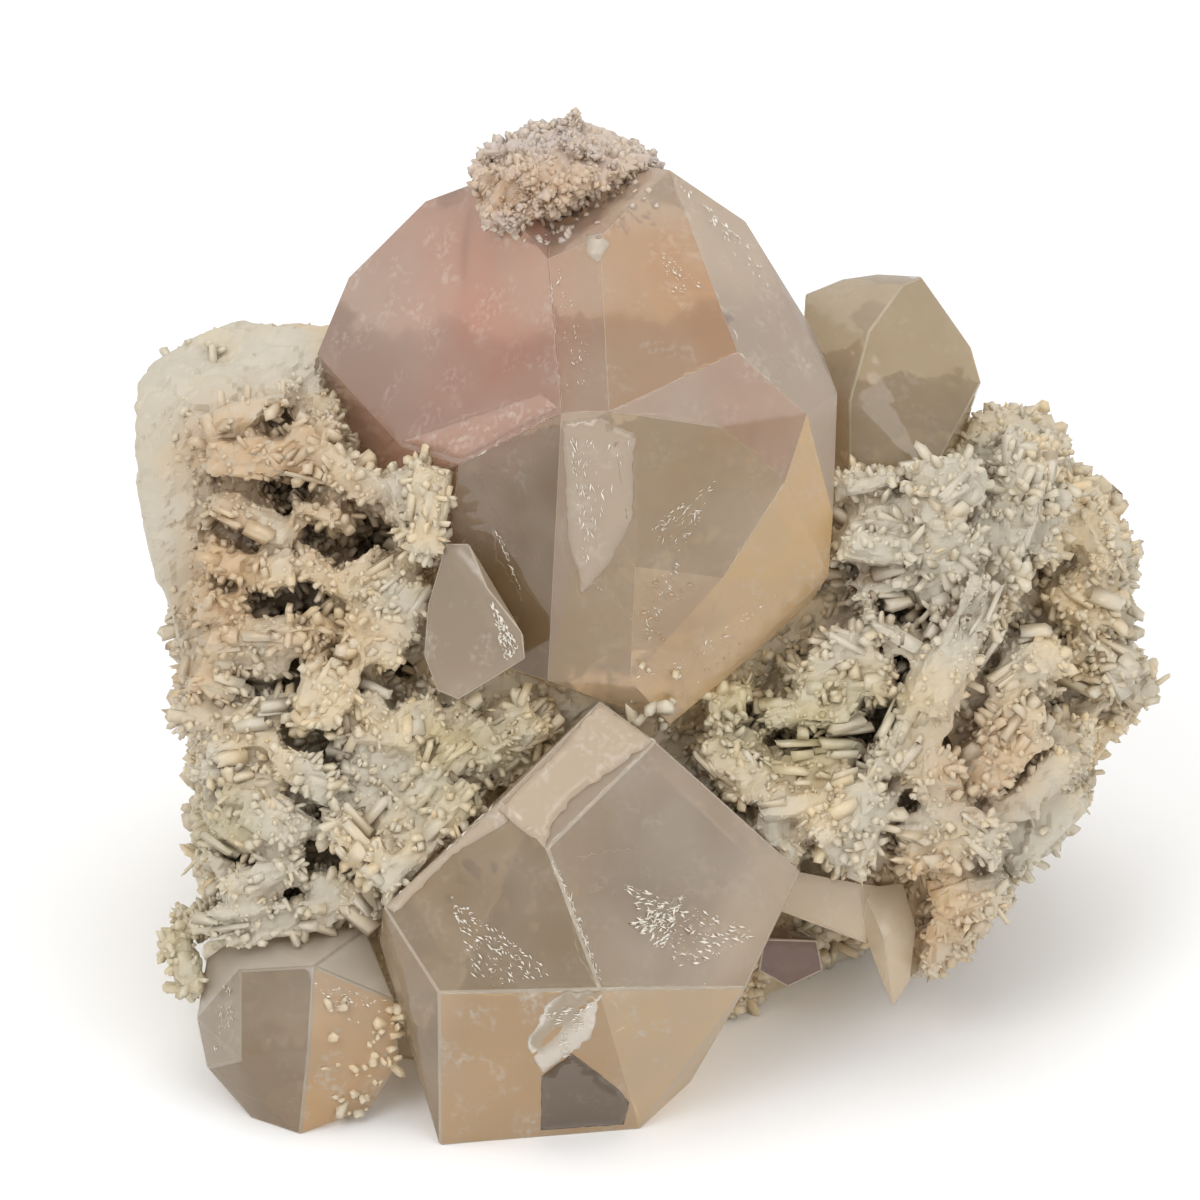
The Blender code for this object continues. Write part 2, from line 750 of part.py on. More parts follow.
def build_back_plates(lumps):
    """Broken plates over the sides and the back, laid flat against the mass."""
    wander = random.Random(BACK_SEED)
    surface = surface_of(lumps)
    made = []
    for index in range(BACK_PLATES):
        angle = BACK_FROM + (BACK_TO - BACK_FROM) * (index + wander.random()) / BACK_PLATES
        height = wander.uniform(BACK_LOW, BACK_HIGH)
        sight = Vector((math.cos(angle), math.sin(angle), 0.0))
        middle = stood(*BACK_AXIS, height)
        hit, normal, _, _ = surface.ray_cast(middle + sight * 200 * MM, -sight)
        if hit is None:
            continue
        along = normal.cross(Vector((0, 0, 1))).normalized()
        along = along + Vector((0, 0, 1)) * wander.uniform(-0.9, 0.9)
        along = along.normalized() * wander.uniform(4.0, 9.0) * MM
        edge = hit + normal * wander.uniform(0.8, 2.2) * MM
        thick = wander.uniform(2.5, 6.0)
        points = plate_points(edge - along, edge + along, normal, thick, 8.0, wander)
        made.append(build_hull(f"back_plate_{index}", points))
    return made


def build_nubs(name, hulls, region, count, size):
    """Small stubby crystals that stud the part of the surface in this region of the view."""
    wander = random.Random(NUB_SEED)
    surface = surface_of(hulls)
    left, right, low, high = region
    made = []
    for index in range(count):
        eye = seen(wander.uniform(left, right), wander.uniform(low, high), 120.0)
        hit, normal, _, _ = surface.ray_cast(eye, -TOWARD)
        if hit is None:
            continue
        tip = (normal + Vector([wander.uniform(-0.5, 0.5) for _ in range(3)])).normalized()
        across = tip.orthogonal().normalized()
        beside = tip.cross(across)
        radius = size * wander.uniform(0.7, 1.3) * MM
        points = []
        for turn in range(4):
            angle = math.tau * (turn / 4) + index
            flank = (across * math.cos(angle) + beside * math.sin(angle)) * radius
            points.append(hit + flank - tip * radius)
            points.append(hit + flank * 0.75 + tip * radius * 0.8)
        points.append(hit + tip * radius * 1.4)
        made.append(build_hull(f"{name}_{index}", points))
    return made


def build_hollows():
    """Cutters for the dark gaps between the plates."""
    made = []
    for index, (across, up, half_width, half_height, deep) in enumerate(HOLLOWS):
        points = []
        for turn in range(6):
            angle = math.tau * turn / 6
            x, y = math.cos(angle) * half_width, math.sin(angle) * half_height
            points.append(seen(across + x, up + y, 8.0))
            points.append(seen(across + x * 0.6, up + y * 0.5, 0.0 - deep))
        made.append(build_hull(f"hollow_{index}", points))
    return made


def core_hulls():
    """The lumps that make the albite's mass."""
    lumps = [build_hull("root", [stood(*corner) for corner in ROOT])]
    lumps.append(build_hull("back_mass", [stood(*corner) for corner in BACK_MASS]))
    for name, corners in (
        ("left_block", LEFT_BLOCK),
        ("left_mass", LEFT_MASS),
        ("middle_mass", MIDDLE_MASS),
        ("right_mass", RIGHT_MASS),
        ("right_skirt", RIGHT_SKIRT),
    ):
        lumps.append(build_hull(name, [seen(*corner) for corner in corners]))
    return lumps


def build_crystal(name, corners, colour, roughness, clear):
    """One flat-faced crystal."""
    crystal = build_hull(name, [seen(*corner) for corner in corners])
    give_material(crystal, colour, roughness, clear)
    return crystal


def main():
    for old in list(bpy.data.objects):
        bpy.data.objects.remove(old)

    pink = build_crystal("morganite", PINK_ZONE, (0.52, 0.33, 0.27), 0.15, 0.6)
    clear = build_hull("clear_zone", [seen(*corner) for corner in CLEAR_ZONE])
    back = build_crystal("back_crystal", BACK_CRYSTAL, (0.36, 0.32, 0.22), 0.2, 0.6)
    front = build_crystal("front_crystal", FRONT_CRYSTAL, (0.42, 0.36, 0.28), 0.15, 0.7)
    corner = build_crystal("corner_crystal", CORNER_CRYSTAL, (0.40, 0.35, 0.27), 0.15, 0.7)
    tooth = build_crystal("tooth_crystal", TOOTH_CRYSTAL, (0.45, 0.36, 0.27), 0.2, 0.6)
    ledge = build_hull("tooth_plate", [seen(*corner) for corner in TOOTH_PLATE])
    side = build_crystal("side_crystal", SIDE_PLATE, (0.55, 0.52, 0.45), 0.4, 0.5)
    foot = build_crystal("foot_crystal", FOOT_CRYSTAL, (0.25, 0.17, 0.13), 0.3, 0.4)
    cap = build_crystal("druse_cap", DRUSE_CAP, (0.42, 0.33, 0.28), 0.5, 0.0)

    grown = {hull.name: build_grown(hull, GAP) for hull in
             (pink, clear, back, front, corner, tooth, ledge, side, foot)}
    for cutter in grown.values():
        hide(cutter)
    large = [grown["morganite"], grown["clear_zone"]]

    combine(pink, [clear], "UNION")
    combine(tooth, [ledge], "UNION")
    combine(cap, build_nubs("cap_nub", [cap], CAP_REGION, CAP_NUBS, 1.3), "UNION")
    combine(cap, large, "DIFFERENCE")
    combine(side, large, "DIFFERENCE")
    combine(back, large, "DIFFERENCE")
    combine(front, large, "DIFFERENCE")
    combine(tooth, [grown["front_crystal"]], "DIFFERENCE")

    lumps = core_hulls()
    albite = lumps[0]
    albite.name = "albite_matrix"
    plates = build_plates() + build_back_plates(lumps)
    plates += build_nubs("rim_nub", lumps, RIM_REGION, RIM_NUBS, 1.6)
    combine(albite, lumps[1:] + plates, "UNION")
    table = build_hull("table", [stood(x, y, z) for x in (-200, 200) for y in (-200, 200)
                                 for z in (-TABLE_DEPTH, 0)])
    combine(albite, list(grown.values()) + build_hollows() + [table], "DIFFERENCE")
    give_material(albite, (0.62, 0.56, 0.46), 0.6)

    for target in (pink, tooth, cap, side, back, front, albite):
        settle(target)


main()
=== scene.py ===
"""Looks of a morganite crystal group on albite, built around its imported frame.

Lengths are in metres, in the part's own frame. Places on the front are given in
millimetres as (across, up, toward), the way the specimen shows when it is looked at
from 30 degrees above the table, and View turns them into the frame and back.
"""

import logging
import math
from dataclasses import dataclass
from enum import Enum

import bmesh
import bpy
import numpy as np
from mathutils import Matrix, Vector, noise
from mathutils.bvhtree import BVHTree
from mathutils.kdtree import KDTree


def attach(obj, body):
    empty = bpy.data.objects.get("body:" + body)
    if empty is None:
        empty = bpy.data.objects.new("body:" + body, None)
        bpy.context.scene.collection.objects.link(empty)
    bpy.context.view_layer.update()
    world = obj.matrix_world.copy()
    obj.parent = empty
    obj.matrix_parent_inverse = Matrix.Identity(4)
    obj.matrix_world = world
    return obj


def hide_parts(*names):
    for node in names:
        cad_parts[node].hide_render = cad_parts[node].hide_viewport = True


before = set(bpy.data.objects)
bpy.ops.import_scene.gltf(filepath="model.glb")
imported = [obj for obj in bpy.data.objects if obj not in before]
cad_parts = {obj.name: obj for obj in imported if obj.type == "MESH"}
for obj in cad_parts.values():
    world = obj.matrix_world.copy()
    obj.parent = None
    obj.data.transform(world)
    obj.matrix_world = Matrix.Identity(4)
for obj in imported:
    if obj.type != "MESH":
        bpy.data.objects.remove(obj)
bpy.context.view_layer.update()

log = logging.getLogger("specimen")

MM = 0.001
ROOT = "root"
Colour = tuple[float, float, float]


class View:
    """The tilted view that the front of the specimen is described in."""

    TILT = math.radians(30)
    ORIGIN_ACROSS = 1.0
    ORIGIN_DEPTH = 35.26
    TOWARD = Vector((0.0, -math.cos(TILT), math.sin(TILT)))

    @classmethod
    def place(cls, across: float, up: float, toward: float) -> Vector:
        """The point of the frame that shows at this place, in metres."""
        depth = up * math.sin(cls.TILT) - toward * math.cos(cls.TILT)
        height = up * math.cos(cls.TILT) + toward * math.sin(cls.TILT)
        return Vector((across - cls.ORIGIN_ACROSS, depth - cls.ORIGIN_DEPTH, height)) * MM

    @classmethod
    def seen(cls, points: np.ndarray) -> np.ndarray:
        """Where points of the frame show.

        Args:
            points: An array of (n, 3) coordinates in metres.

        Returns:
            An array of (n, 3): across, up and toward, in millimetres.
        """
        x, y, z = (points / MM).T
        depth = y + cls.ORIGIN_DEPTH
        up = depth * math.sin(cls.TILT) + z * math.cos(cls.TILT)
        toward = z * math.sin(cls.TILT) - depth * math.cos(cls.TILT)
        return np.stack([x + cls.ORIGIN_ACROSS, up, toward], axis=1)


# Node wiring


class Wiring:
    """Adds nodes to one tree, a material's or a group's, and links them."""

    def __init__(self, tree: bpy.types.NodeTree) -> None:
        """Work on this tree."""
        self.tree = tree

    def feed(self, socket: bpy.types.NodeSocket, value: object) -> None:
        """Link a socket to the input, or set the input to a plain value."""
        if isinstance(value, bpy.types.NodeSocket):
            self.tree.links.new(value, socket)
        elif isinstance(value, tuple) and len(value) == 3 and socket.type == "RGBA":
            socket.default_value = (*value, 1.0)
        else:
            socket.default_value = value

    def node(self, kind: str, inputs: dict, **settings: object) -> bpy.types.Node:
        """Add one node.

        Args:
            kind: The node's type, without its leading "ShaderNode".
            inputs: Values or sockets, by input name or index.
            settings: The node's own properties.

        Returns:
            The node.
        """
        made = self.tree.nodes.new("ShaderNode" + kind)
        for name, value in settings.items():
            setattr(made, name, value)
        for key, value in inputs.items():
            self.feed(made.inputs[key], value)
        return made

    def maths(self, operation: str, first: object, second: object = 0.0, clamp: bool = False):
        """One arithmetic step; returns its value socket."""
        return self.node(
            "Math", {0: first, 1: second}, operation=operation, use_clamp=clamp
        ).outputs[0]

    def mix(self, mask: object, first: object, second: object) -> bpy.types.NodeSocket:
        """Blend two colours by a mask; returns the colour socket."""
        return self.node("Mix", {0: mask, 6: first, 7: second}, data_type="RGBA").outputs[2]

    def span(
        self, value: object, low: float, high: float, to_low: float = 0.0, to_high: float = 1.0
    ) -> bpy.types.NodeSocket:
        """Map a value from one range to another, clamped."""
        return self.node(
            "MapRange", {0: value, 1: low, 2: high, 3: to_low, 4: to_high}
        ).outputs[0]

    def cloud(
        self, scale: float, detail: float = 3.0, distortion: float = 0.0, where: object = None
    ) -> bpy.types.NodeSocket:
        """Soft noise at so many features a metre; returns its value socket."""
        inputs = {"Vector": where or self.place(), "Scale": scale, "Detail": detail}
        inputs["Distortion"] = distortion
        return self.node("TexNoise", inputs).outputs[0]

    def cells(self, scale: float, feature: str = "F1", where: object = None):
        """A cell pattern; returns the node."""
        inputs = {"Vector": where or self.place(), "Scale": scale}
        return self.node("TexVoronoi", inputs, feature=feature)

    def place(self) -> bpy.types.NodeSocket:
        """The point's own coordinates in the frame."""
        return self.node("TexCoord", {}).outputs["Object"]

    def attribute(self, name: str) -> bpy.types.NodeSocket:
        """A value that the mesh carries."""
        return self.node("Attribute", {}, attribute_name=name).outputs["Fac"]


class Effects:
    """Shader groups that more than one material uses. Each gives colours or masks."""

    made: dict[str, bpy.types.NodeTree] = {}

    @classmethod
    def start(cls, name: str, inputs: dict, outputs: dict) -> tuple[Wiring, dict, dict]:
        """Make an empty group with named sockets.

        Args:
            name: The group's name.
            inputs: Default values by socket name: a number or a colour.
            outputs: "NodeSocketFloat" or "NodeSocketColor" by socket name.

        Returns:
            The group's wiring, its input sockets and its output sockets, by name.
        """
        tree = bpy.data.node_groups.new(name, "ShaderNodeTree")
        for label, value in inputs.items():
            kind = "NodeSocketColor" if isinstance(value, tuple) else "NodeSocketFloat"
            made = tree.interface.new_socket(name=label, in_out="INPUT", socket_type=kind)
            made.default_value = (*value, 1.0) if isinstance(value, tuple) else value
        for label, kind in outputs.items():
            tree.interface.new_socket(name=label, in_out="OUTPUT", socket_type=kind)
        entry = tree.nodes.new("NodeGroupInput")
        leave = tree.nodes.new("NodeGroupOutput")
        cls.made[name] = tree
        return Wiring(tree), entry.outputs, leave.inputs

    @classmethod
    def use(cls, wiring: Wiring, name: str, inputs: dict) -> bpy.types.NodeOutputs:
        """Place a group in a material with its own values; returns its outputs."""
        if name not in cls.made:
            getattr(cls, "build_" + name)()
        node = wiring.tree.nodes.new("ShaderNodeGroup")
        node.node_tree = cls.made[name]
        for key, value in inputs.items():
            wiring.feed(node.inputs[key], value)
        return node.outputs

    @classmethod
    def build_albite_colour(cls) -> None:
        """Pale plates, cream tips, tan and olive stains, and dark brown in the shut-in gaps that is partly iron stain,
        partly painted shade.
        """
        shades = {
            "Pale": (0.50, 0.455, 0.365),
            "Cream": (0.63, 0.49, 0.29),
            "Rust": (0.50, 0.32, 0.165),
            "Olive": (0.42, 0.36, 0.18),
            # Dark brown for shut-in points: partly iron stain, partly painted shade.
            "StainAndShade": (0.15, 0.085, 0.035),
        }
        w, given, out = cls.start(
            "albite_colour",
            {**shades, "Stain": 1.0},
            {"Color": "NodeSocketColor", "Height": "NodeSocketFloat"},
        )
        patches = w.cloud(130.0, 3.0)
        fine = w.cloud(900.0, 2.0)
        tone = w.attribute("tone")
        tip = w.attribute("tip")
        warm = w.maths("ADD", w.maths("MULTIPLY", tone, 0.6), w.span(patches, 0.35, 0.65, -0.2, 0.75))
        base = w.mix(w.maths("MAXIMUM", warm, 0.0, clamp=True), given["Pale"], given["Cream"])
        stain = w.maths("MULTIPLY", w.attribute("rust"), w.span(fine, 0.3, 0.65, 0.35, 1.15))
        stain = w.maths("MULTIPLY", stain, given["Stain"])
        rusty = w.mix(w.maths("MINIMUM", stain, 1.0), base, given["Rust"])
        olive = w.maths("MULTIPLY", w.attribute("olive"), w.span(patches, 0.3, 0.6, 0.3, 1.0))
        green = w.mix(olive, rusty, given["Olive"])
        # Painted shade, partly iron stain: dark brown by how shut in each point is, less at the small crystals' tips.
        stain_and_shade = w.maths("MULTIPLY", w.attribute("stain_and_shade"), w.span(fine, 0.25, 0.6, 0.6, 1.1))
        stain_and_shade = w.maths("MULTIPLY", stain_and_shade, w.span(tip, 0.0, 1.0, 1.0, 0.35), clamp=True)
        brown = w.mix(stain_and_shade, green, given["StainAndShade"])
        light = w.maths("MULTIPLY", tip, w.span(fine, 0.3, 0.7, 0.05, 0.4))
        w.feed(out["Color"], w.mix(light, brown, (0.80, 0.72, 0.57)))
        w.feed(out["Height"], fine)

    @classmethod
    def build_patch(cls) -> None:
        """A soft ragged ellipse, placed in the tilted view in millimetres, as a mask."""
        w, given, out = cls.start(
            "patch",
            {"Across": 0.0, "Up": 50.0, "Wide": 5.0, "High": 5.0, "Turn": 0.0, "Power": 2.0,
             "Soft": 0.8, "Ragged": 0.6, "Stray": 0.0},
            {"Mask": "NodeSocketFloat"},
        )
        split = w.node("SeparateXYZ", {0: w.place()}).outputs
        depth = w.maths("ADD", w.maths("DIVIDE", split[1], MM), View.ORIGIN_DEPTH)
        height = w.maths("DIVIDE", split[2], MM)
        up = w.maths(
            "ADD",
            w.maths("MULTIPLY", depth, math.sin(View.TILT)),
            w.maths("MULTIPLY", height, math.cos(View.TILT)),
        )
        across = w.maths("ADD", w.maths("DIVIDE", split[0], MM), View.ORIGIN_ACROSS)
        x = w.maths("SUBTRACT", across, given["Across"])
        y = w.maths("SUBTRACT", up, given["Up"])
        cos, sin = w.maths("COSINE", given["Turn"]), w.maths("SINE", given["Turn"])
        along = w.maths("ADD", w.maths("MULTIPLY", x, cos), w.maths("MULTIPLY", y, sin))
        beside = w.maths("SUBTRACT", w.maths("MULTIPLY", y, cos), w.maths("MULTIPLY", x, sin))
        parts = [
            w.maths("POWER", w.maths("ABSOLUTE", w.maths("DIVIDE", part, given[size])), given["Power"])
            for part, size in ((along, "Wide"), (beside, "High"))
        ]
        far = w.maths("POWER", w.maths("ADD", *parts), w.maths("DIVIDE", 1.0, given["Power"]))
        stray = w.maths("MULTIPLY", given["Stray"], given["Ragged"])
        near = w.maths("SUBTRACT", 1.0, w.maths("ADD", far, stray))
        mask = w.maths("ADD", w.maths("DIVIDE", near, given["Soft"]), 0.5, clamp=True)
        w.feed(out["Mask"], mask)

    @classmethod
    def build_frost(cls) -> None:
        """Where a crystal is worn white, how rough it is there and how hazy it is."""
        w, given, out = cls.start(
            "frost",
            {"Scuff": 0.1, "Frost": 0.0},
            {"White": "NodeSocketFloat", "Rough": "NodeSocketFloat", "Haze": "NodeSocketFloat"},
        )
        soft = w.cloud(260.0, 2.0)
        speck = w.maths("MULTIPLY", w.span(soft, 0.5, 0.66), w.span(w.cloud(1500.0, 2.0), 0.46, 0.64))
        amount = w.maths("ADD", given["Scuff"], w.maths("MULTIPLY", given["Frost"], 0.6))
        white = w.maths("MULTIPLY", speck, amount, clamp=True)
        w.feed(out["White"], white)
        w.feed(out["Rough"], w.maths("MAXIMUM", given["Frost"], white))
        w.feed(out["Haze"], w.span(w.cloud(95.0, 2.0), 0.38, 0.64))


# Finishes


@dataclass(frozen=True)
class AlbiteFinish:
    """Dull to pearly albite, stained in its gaps."""

    name: str
    pale: Colour = (0.485, 0.44, 0.35)
    cream: Colour = (0.61, 0.47, 0.275)
    rust: Colour = (0.50, 0.325, 0.17)
    stain: float = 1.0
    roughness: float = 0.5
    relief: float = 0.12

    def material(self) -> bpy.types.Material:
        """Build the material."""
        made = bpy.data.materials.new(self.name)
        made.use_nodes = True
        w = Wiring(made.node_tree)
        shader = made.node_tree.nodes["Principled BSDF"]
        colour = Effects.use(
            w,
            "albite_colour",
            {"Pale": self.pale, "Cream": self.cream, "Rust": self.rust, "Stain": self.stain},
        )
        w.feed(shader.inputs["Base Color"], colour["Color"])
        w.feed(shader.inputs["Roughness"], w.span(colour["Height"], 0.2, 0.8, self.roughness, self.roughness - 0.15))
        bump = w.node("Bump", {"Strength": self.relief, "Distance": 0.0004, "Height": colour["Height"]})
        w.feed(shader.inputs["Normal"], bump.outputs[0])
        shader.inputs["IOR"].default_value = 1.53
        return made


@dataclass(frozen=True)
class Blush:
    """A patch of another colour on a crystal, as an ellipse in the tilted view."""

    across: float
    up: float
    wide: float
    high: float
    colour: Colour
    weight: float = 0.8
    soft: float = 0.8
    ragged: float = 0.15
    turn: float = 0.0
    power: float = 2.0


@dataclass(frozen=True)
class CrystalFinish:
    """A clear to milky crystal: plain transmission and absorption. Its faces carry their
    colours and how frosted they are."""

    name: str
    absorb: Colour
    density: float
    clear: float = 0.56
    roughness: float = 0.06
    refraction: float = 1.57
    scuff: float = 0.12
    hazy: float = 0.3
    frosted: Colour = (0.82, 0.77, 0.69)
    haze: Colour = (0.62, 0.54, 0.44)
    shade: Colour = (0.80, 0.76, 0.70)
    blushes: tuple[Blush, ...] = ()

    ROUGHEST = 0.5

    def material(self) -> bpy.types.Material:
        """Build the material."""
        made = bpy.data.materials.new(self.name)
        made.use_nodes = True
        w = Wiring(made.node_tree)
        shader = made.node_tree.nodes["Principled BSDF"]
        output = made.node_tree.nodes["Material Output"]
        face = w.node("Attribute", {}, attribute_name="facet").outputs
        frost = Effects.use(w, "frost", {"Scuff": self.scuff, "Frost": face["Alpha"]})
        body = self.blushed(w, face["Color"])
        body = w.mix(w.maths("MULTIPLY", frost["Haze"], self.hazy), body, self.haze)
        w.feed(shader.inputs["Base Color"], w.mix(frost["White"], body, self.frosted))
        rough = w.node("Mix", {0: frost["Rough"], 2: self.roughness, 3: self.ROUGHEST}).outputs[0]
        w.feed(shader.inputs["Roughness"], rough)
        shader.inputs["Transmission Weight"].default_value = self.clear
        shader.inputs["IOR"].default_value = self.refraction
        through = w.node("BsdfTransparent", {0: self.shade})
        path = w.node("LightPath", {})
        mixed = w.node(
            "MixShader", {0: path.outputs["Is Shadow Ray"], 1: shader.outputs[0], 2: through.outputs[0]}
        )
        w.feed(output.inputs["Surface"], mixed.outputs[0])
        volume = w.node("VolumeAbsorption", {0: self.absorb, 1: self.density})
        w.feed(output.inputs["Volume"], volume.outputs[0])
        return made

    def blushed(self, w: Wiring, body: bpy.types.NodeSocket) -> bpy.types.NodeSocket:
        """The faces' colour with the patches laid over it."""
        stray = w.maths("SUBTRACT", w.cloud(330.0, 2.0), 0.5) if self.blushes else 0.0
        for blush in self.blushes:
            place = {"Across": blush.across, "Up": blush.up, "Wide": blush.wide, "High": blush.high}
            place |= {"Soft": blush.soft, "Ragged": blush.ragged, "Stray": stray}
            place |= {"Turn": math.radians(blush.turn), "Power": blush.power}
            mask = Effects.use(w, "patch", place)["Mask"]
            body = w.mix(w.maths("MULTIPLY", mask, blush.weight), body, blush.colour)
        return body


@dataclass(frozen=True)
class PlainFinish:
    """A plain speckled surface for the floor and for the white flaws in a crystal."""

    name: str
    colour: Colour
    other: Colour
    scale: float
    roughness: float

    def material(self) -> bpy.types.Material:
        """Build the material."""
        made = bpy.data.materials.new(self.name)
        made.use_nodes = True
        w = Wiring(made.node_tree)
        shader = made.node_tree.nodes["Principled BSDF"]
        mask = w.span(w.cloud(self.scale, 3.0), 0.3, 0.7)
        w.feed(shader.inputs["Base Color"], w.mix(mask, self.colour, self.other))
        shader.inputs["Roughness"].default_value = self.roughness
        return made


# Mesh work


class Mesh:
    """Turning arrays into pieces, and pieces into arrays."""

    @staticmethod
    def new(name: str, points: np.ndarray, corners: np.ndarray, sizes: np.ndarray) -> bpy.types.Mesh:
        """Make a mesh from arrays.

        Args:
            name: The mesh's name.
            points: (n, 3) coordinates in metres.
            corners: The point index of every face corner, face after face.
            sizes: How many corners each face has.

        Returns:
            The mesh.
        """
        mesh = bpy.data.meshes.new(name)
        mesh.vertices.add(len(points))
        mesh.vertices.foreach_set("co", points.astype(np.float32).ravel())
        mesh.loops.add(len(corners))
        mesh.loops.foreach_set("vertex_index", corners.astype(np.int32))
        mesh.polygons.add(len(sizes))
        starts = np.concatenate([[0], np.cumsum(sizes)[:-1]]).astype(np.int32)
        mesh.polygons.foreach_set("loop_start", starts)
        mesh.update(calc_edges=True)
        mesh.validate()
        return mesh

    @staticmethod
    def show(name: str, mesh: bpy.types.Mesh) -> bpy.types.Object:
        """Put a mesh into the scene under this name; returns the piece."""
        made = bpy.data.objects.new(name, mesh)
        bpy.context.scene.collection.objects.link(made)
        return made

    @staticmethod
    def points(mesh: bpy.types.Mesh) -> np.ndarray:
        """The mesh's coordinates as an array of (n, 3)."""
        values = np.empty(len(mesh.vertices) * 3, np.float32)
        mesh.vertices.foreach_get("co", values)
        return values.reshape(-1, 3).astype(np.float64)

    @staticmethod
    def normals(mesh: bpy.types.Mesh) -> np.ndarray:
        """The mesh's vertex normals as an array of (n, 3)."""
        values = np.empty(len(mesh.vertices) * 3, np.float32)
        mesh.vertex_normals.foreach_get("vector", values)
        return values.reshape(-1, 3).astype(np.float64)

    @staticmethod
    def carry(mesh: bpy.types.Mesh, name: str, values: np.ndarray) -> None:
        """Store one number for each point under this name."""
        layer = mesh.attributes.new(name, "FLOAT", "POINT")
        layer.data.foreach_set("value", values.astype(np.float32))

    @staticmethod
    def triangles(mesh: bpy.types.Mesh) -> np.ndarray:
        """The point indices of the mesh's triangles, as (n, 3)."""
        mesh.calc_loop_triangles()
        values = np.empty(len(mesh.loop_triangles) * 3, np.int32)
        mesh.loop_triangles.foreach_get("vertices", values)
        return values.reshape(-1, 3)


class Trees:
    """Search trees over the frame's nodes."""

    kept: dict[str, BVHTree] = {}

    @classmethod
    def keep(cls, name: str, mesh: bpy.types.Mesh) -> BVHTree:
        """Make a tree over this mesh and keep it under this name."""
        cls.kept[name] = BVHTree.FromPolygons(Mesh.points(mesh).tolist(), Mesh.triangles(mesh).tolist())
        return cls.kept[name]

    @classmethod
    def over(cls, *nodes: str) -> BVHTree:
        """One tree over the triangles of these nodes."""
        key = " ".join(nodes)
        if key not in cls.kept:
            points, faces = [], []
            for node in nodes:
                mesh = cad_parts[node].data
                first = len(points)
                points.extend(Mesh.points(mesh).tolist())
                faces.extend((Mesh.triangles(mesh) + first).tolist())
            cls.kept[key] = BVHTree.FromPolygons(points, faces)
        return cls.kept[key]


CRYSTALS = (
    "morganite",
    "back_crystal",
    "front_crystal",
    "corner_crystal",
    "tooth_crystal",
    "side_crystal",
    "foot_crystal",
)


class Kind(Enum):
    """What a patch of the albite is like."""

    SMOOTH = "smooth"
    RUST = "rust"
    OLIVE = "olive"
    COOL = "cool"
    # Dark hollows: partly iron stain, partly painted shade.
    DARK_STAIN_AND_SHADE = "dark_stain_and_shade"
    CREAM = "cream"


@dataclass(frozen=True)
class Patch:
    """A part of the front as an ellipse in the tilted view, in millimetres."""

    kind: Kind
    across: float
    up: float
    wide: float
    high: float
    weight: float = 1.0


